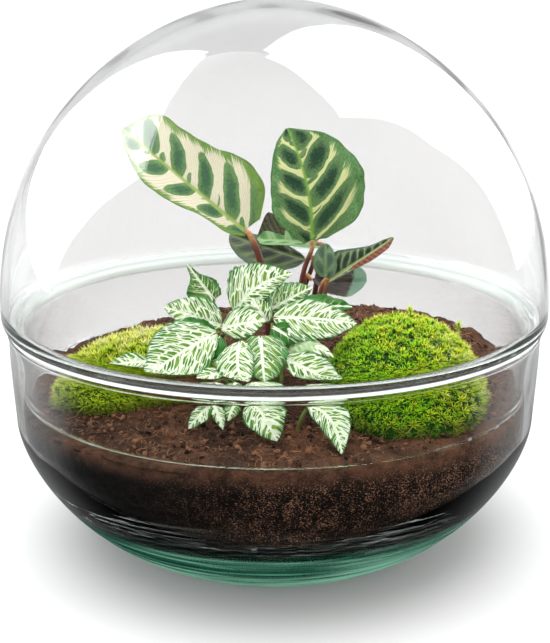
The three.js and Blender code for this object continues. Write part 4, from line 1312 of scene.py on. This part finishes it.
def floor():
    """A round pale floor, paler near the terrarium, painted light that offsets its shade there, and nearly black
    in what the glass mirrors once, except well behind it.
    """
    rings, sectors = 24, 96
    radius = FLOOR_SIZE * (np.arange(1, rings + 1) / rings) ** 2
    angle = around(sectors)
    points = np.stack([np.outer(radius, np.cos(angle)), np.outer(radius, np.sin(angle)),
                       np.full((rings, sectors), FLOOR_LEVEL)], -1).reshape(-1, 3)
    points = np.vstack([points, [[0, 0, FLOOR_LEVEL]]])
    k = np.arange(sectors)
    faces = [grid_faces(rings, sectors, closed_columns=True), fan(rings * sectors, k, (k + 1) % sectors)]
    mesh = bpy.data.meshes.new("floor")
    mesh.from_pydata(points.tolist(), [], faces[0].tolist() + faces[1].tolist())
    paint = Paint("floor", Roughness=0.9, Specular_IOR_Level=0.0)
    place = paint.place()
    x, y, _ = paint.split(place)
    # Painted light: the floor is paler near the terrarium, to offset the shade around it.
    painted_light_near = (x * x + y * y).step(0.36, 0.03)
    cloud = paint.noise(place, 0.4, 2.0)
    white = paint.mix(painted_light_near * 0.9 + cloud * 0.1, (0.72, 0.72, 0.72, 1), (0.84, 0.84, 0.84, 1))
    dim = mirrored_once(paint) * y.step(0.6, 0.15) * (1 - y.step(-0.09, 0.01) * 0.3)
    mesh.materials.append(paint.finish(paint.mix(dim, white, (0.006, 0.006, 0.006, 1))))
    ground = link("floor", mesh)


def sun(name, strength, spread, tilt, lean):
    """A soft distant light that the glass doesn't show."""
    data = bpy.data.lights.new(name, "SUN")
    data.energy = strength
    data.angle = math.radians(spread)
    lamp = link(name, data)
    lamp.rotation_euler = (math.radians(tilt), math.radians(lean), 0)
    lamp.visible_glossy = False
    lamp.visible_transmission = False


def softbox(name, direction, distance, width, height, roll):
    """A flat rectangular light that lights no matt surface and only shows in what mirrors it."""
    data = bpy.data.lights.new(name, "AREA")
    data.shape = "RECTANGLE"
    data.size = width
    data.size_y = height
    data.energy = BOX_RADIANCE * math.pi * width * height
    lamp = link(name, data)
    direction = Vector(direction).normalized()
    lamp.location = Vector(AIM) + direction * distance
    lamp.rotation_euler = direction.to_track_quat("Z", "Y").to_euler()
    lamp.rotation_euler.rotate_axis("Z", math.radians(roll))
    lamp.visible_diffuse = False


def world():
    """A white wall behind, a dim room in front, and less light in what the glass mirrors."""
    scene = bpy.context.scene
    scene.world = bpy.data.worlds.new("studio")
    scene.world.use_nodes = True
    tree = scene.world.node_tree
    paint = Nodes(tree)
    background = tree.nodes["Background"]
    _, y, z = paint.split(paint.node("TexCoord", output="Generated"))
    behind = y.step(-0.35, 0.25) * z.step(0.97, 0.75)
    mirrored = mirrored_once(paint)
    bright = (0.55 + behind * 0.45) * (1 - mirrored) + (0.006 + behind * 0.75) * mirrored
    paint.feed(background.inputs["Color"], paint.join(bright, bright, bright))
    background.inputs["Strength"].default_value = 1.0
    scene.view_settings.view_transform = "Standard"
    scene.view_settings.look = "None"


# ---- Everything ----

camera()
floor()
for spec in SUNS:
    sun(**spec)
for spec in SOFTBOXES:
    softbox(**spec)
world()

glass_bowl()
glass_dome()
soil()
crumbs()
fibres()
fittonia()
calathea()
# The first colour of each is the dark of the cushion's depth, painted shade.
moss_cushion(MOSS[0], moss_paint("moss_bright", (18, 66, 0), (176, 240, 0), (255, 253, 40), (255, 255, 160),
                                 paleness=0.55, ripe=-0.26))
moss_cushion(MOSS[1], moss_paint("moss_dull", (34, 70, 0), (196, 226, 10), (255, 248, 96), (255, 250, 180),
                                 paleness=0.9, ripe=0.0))
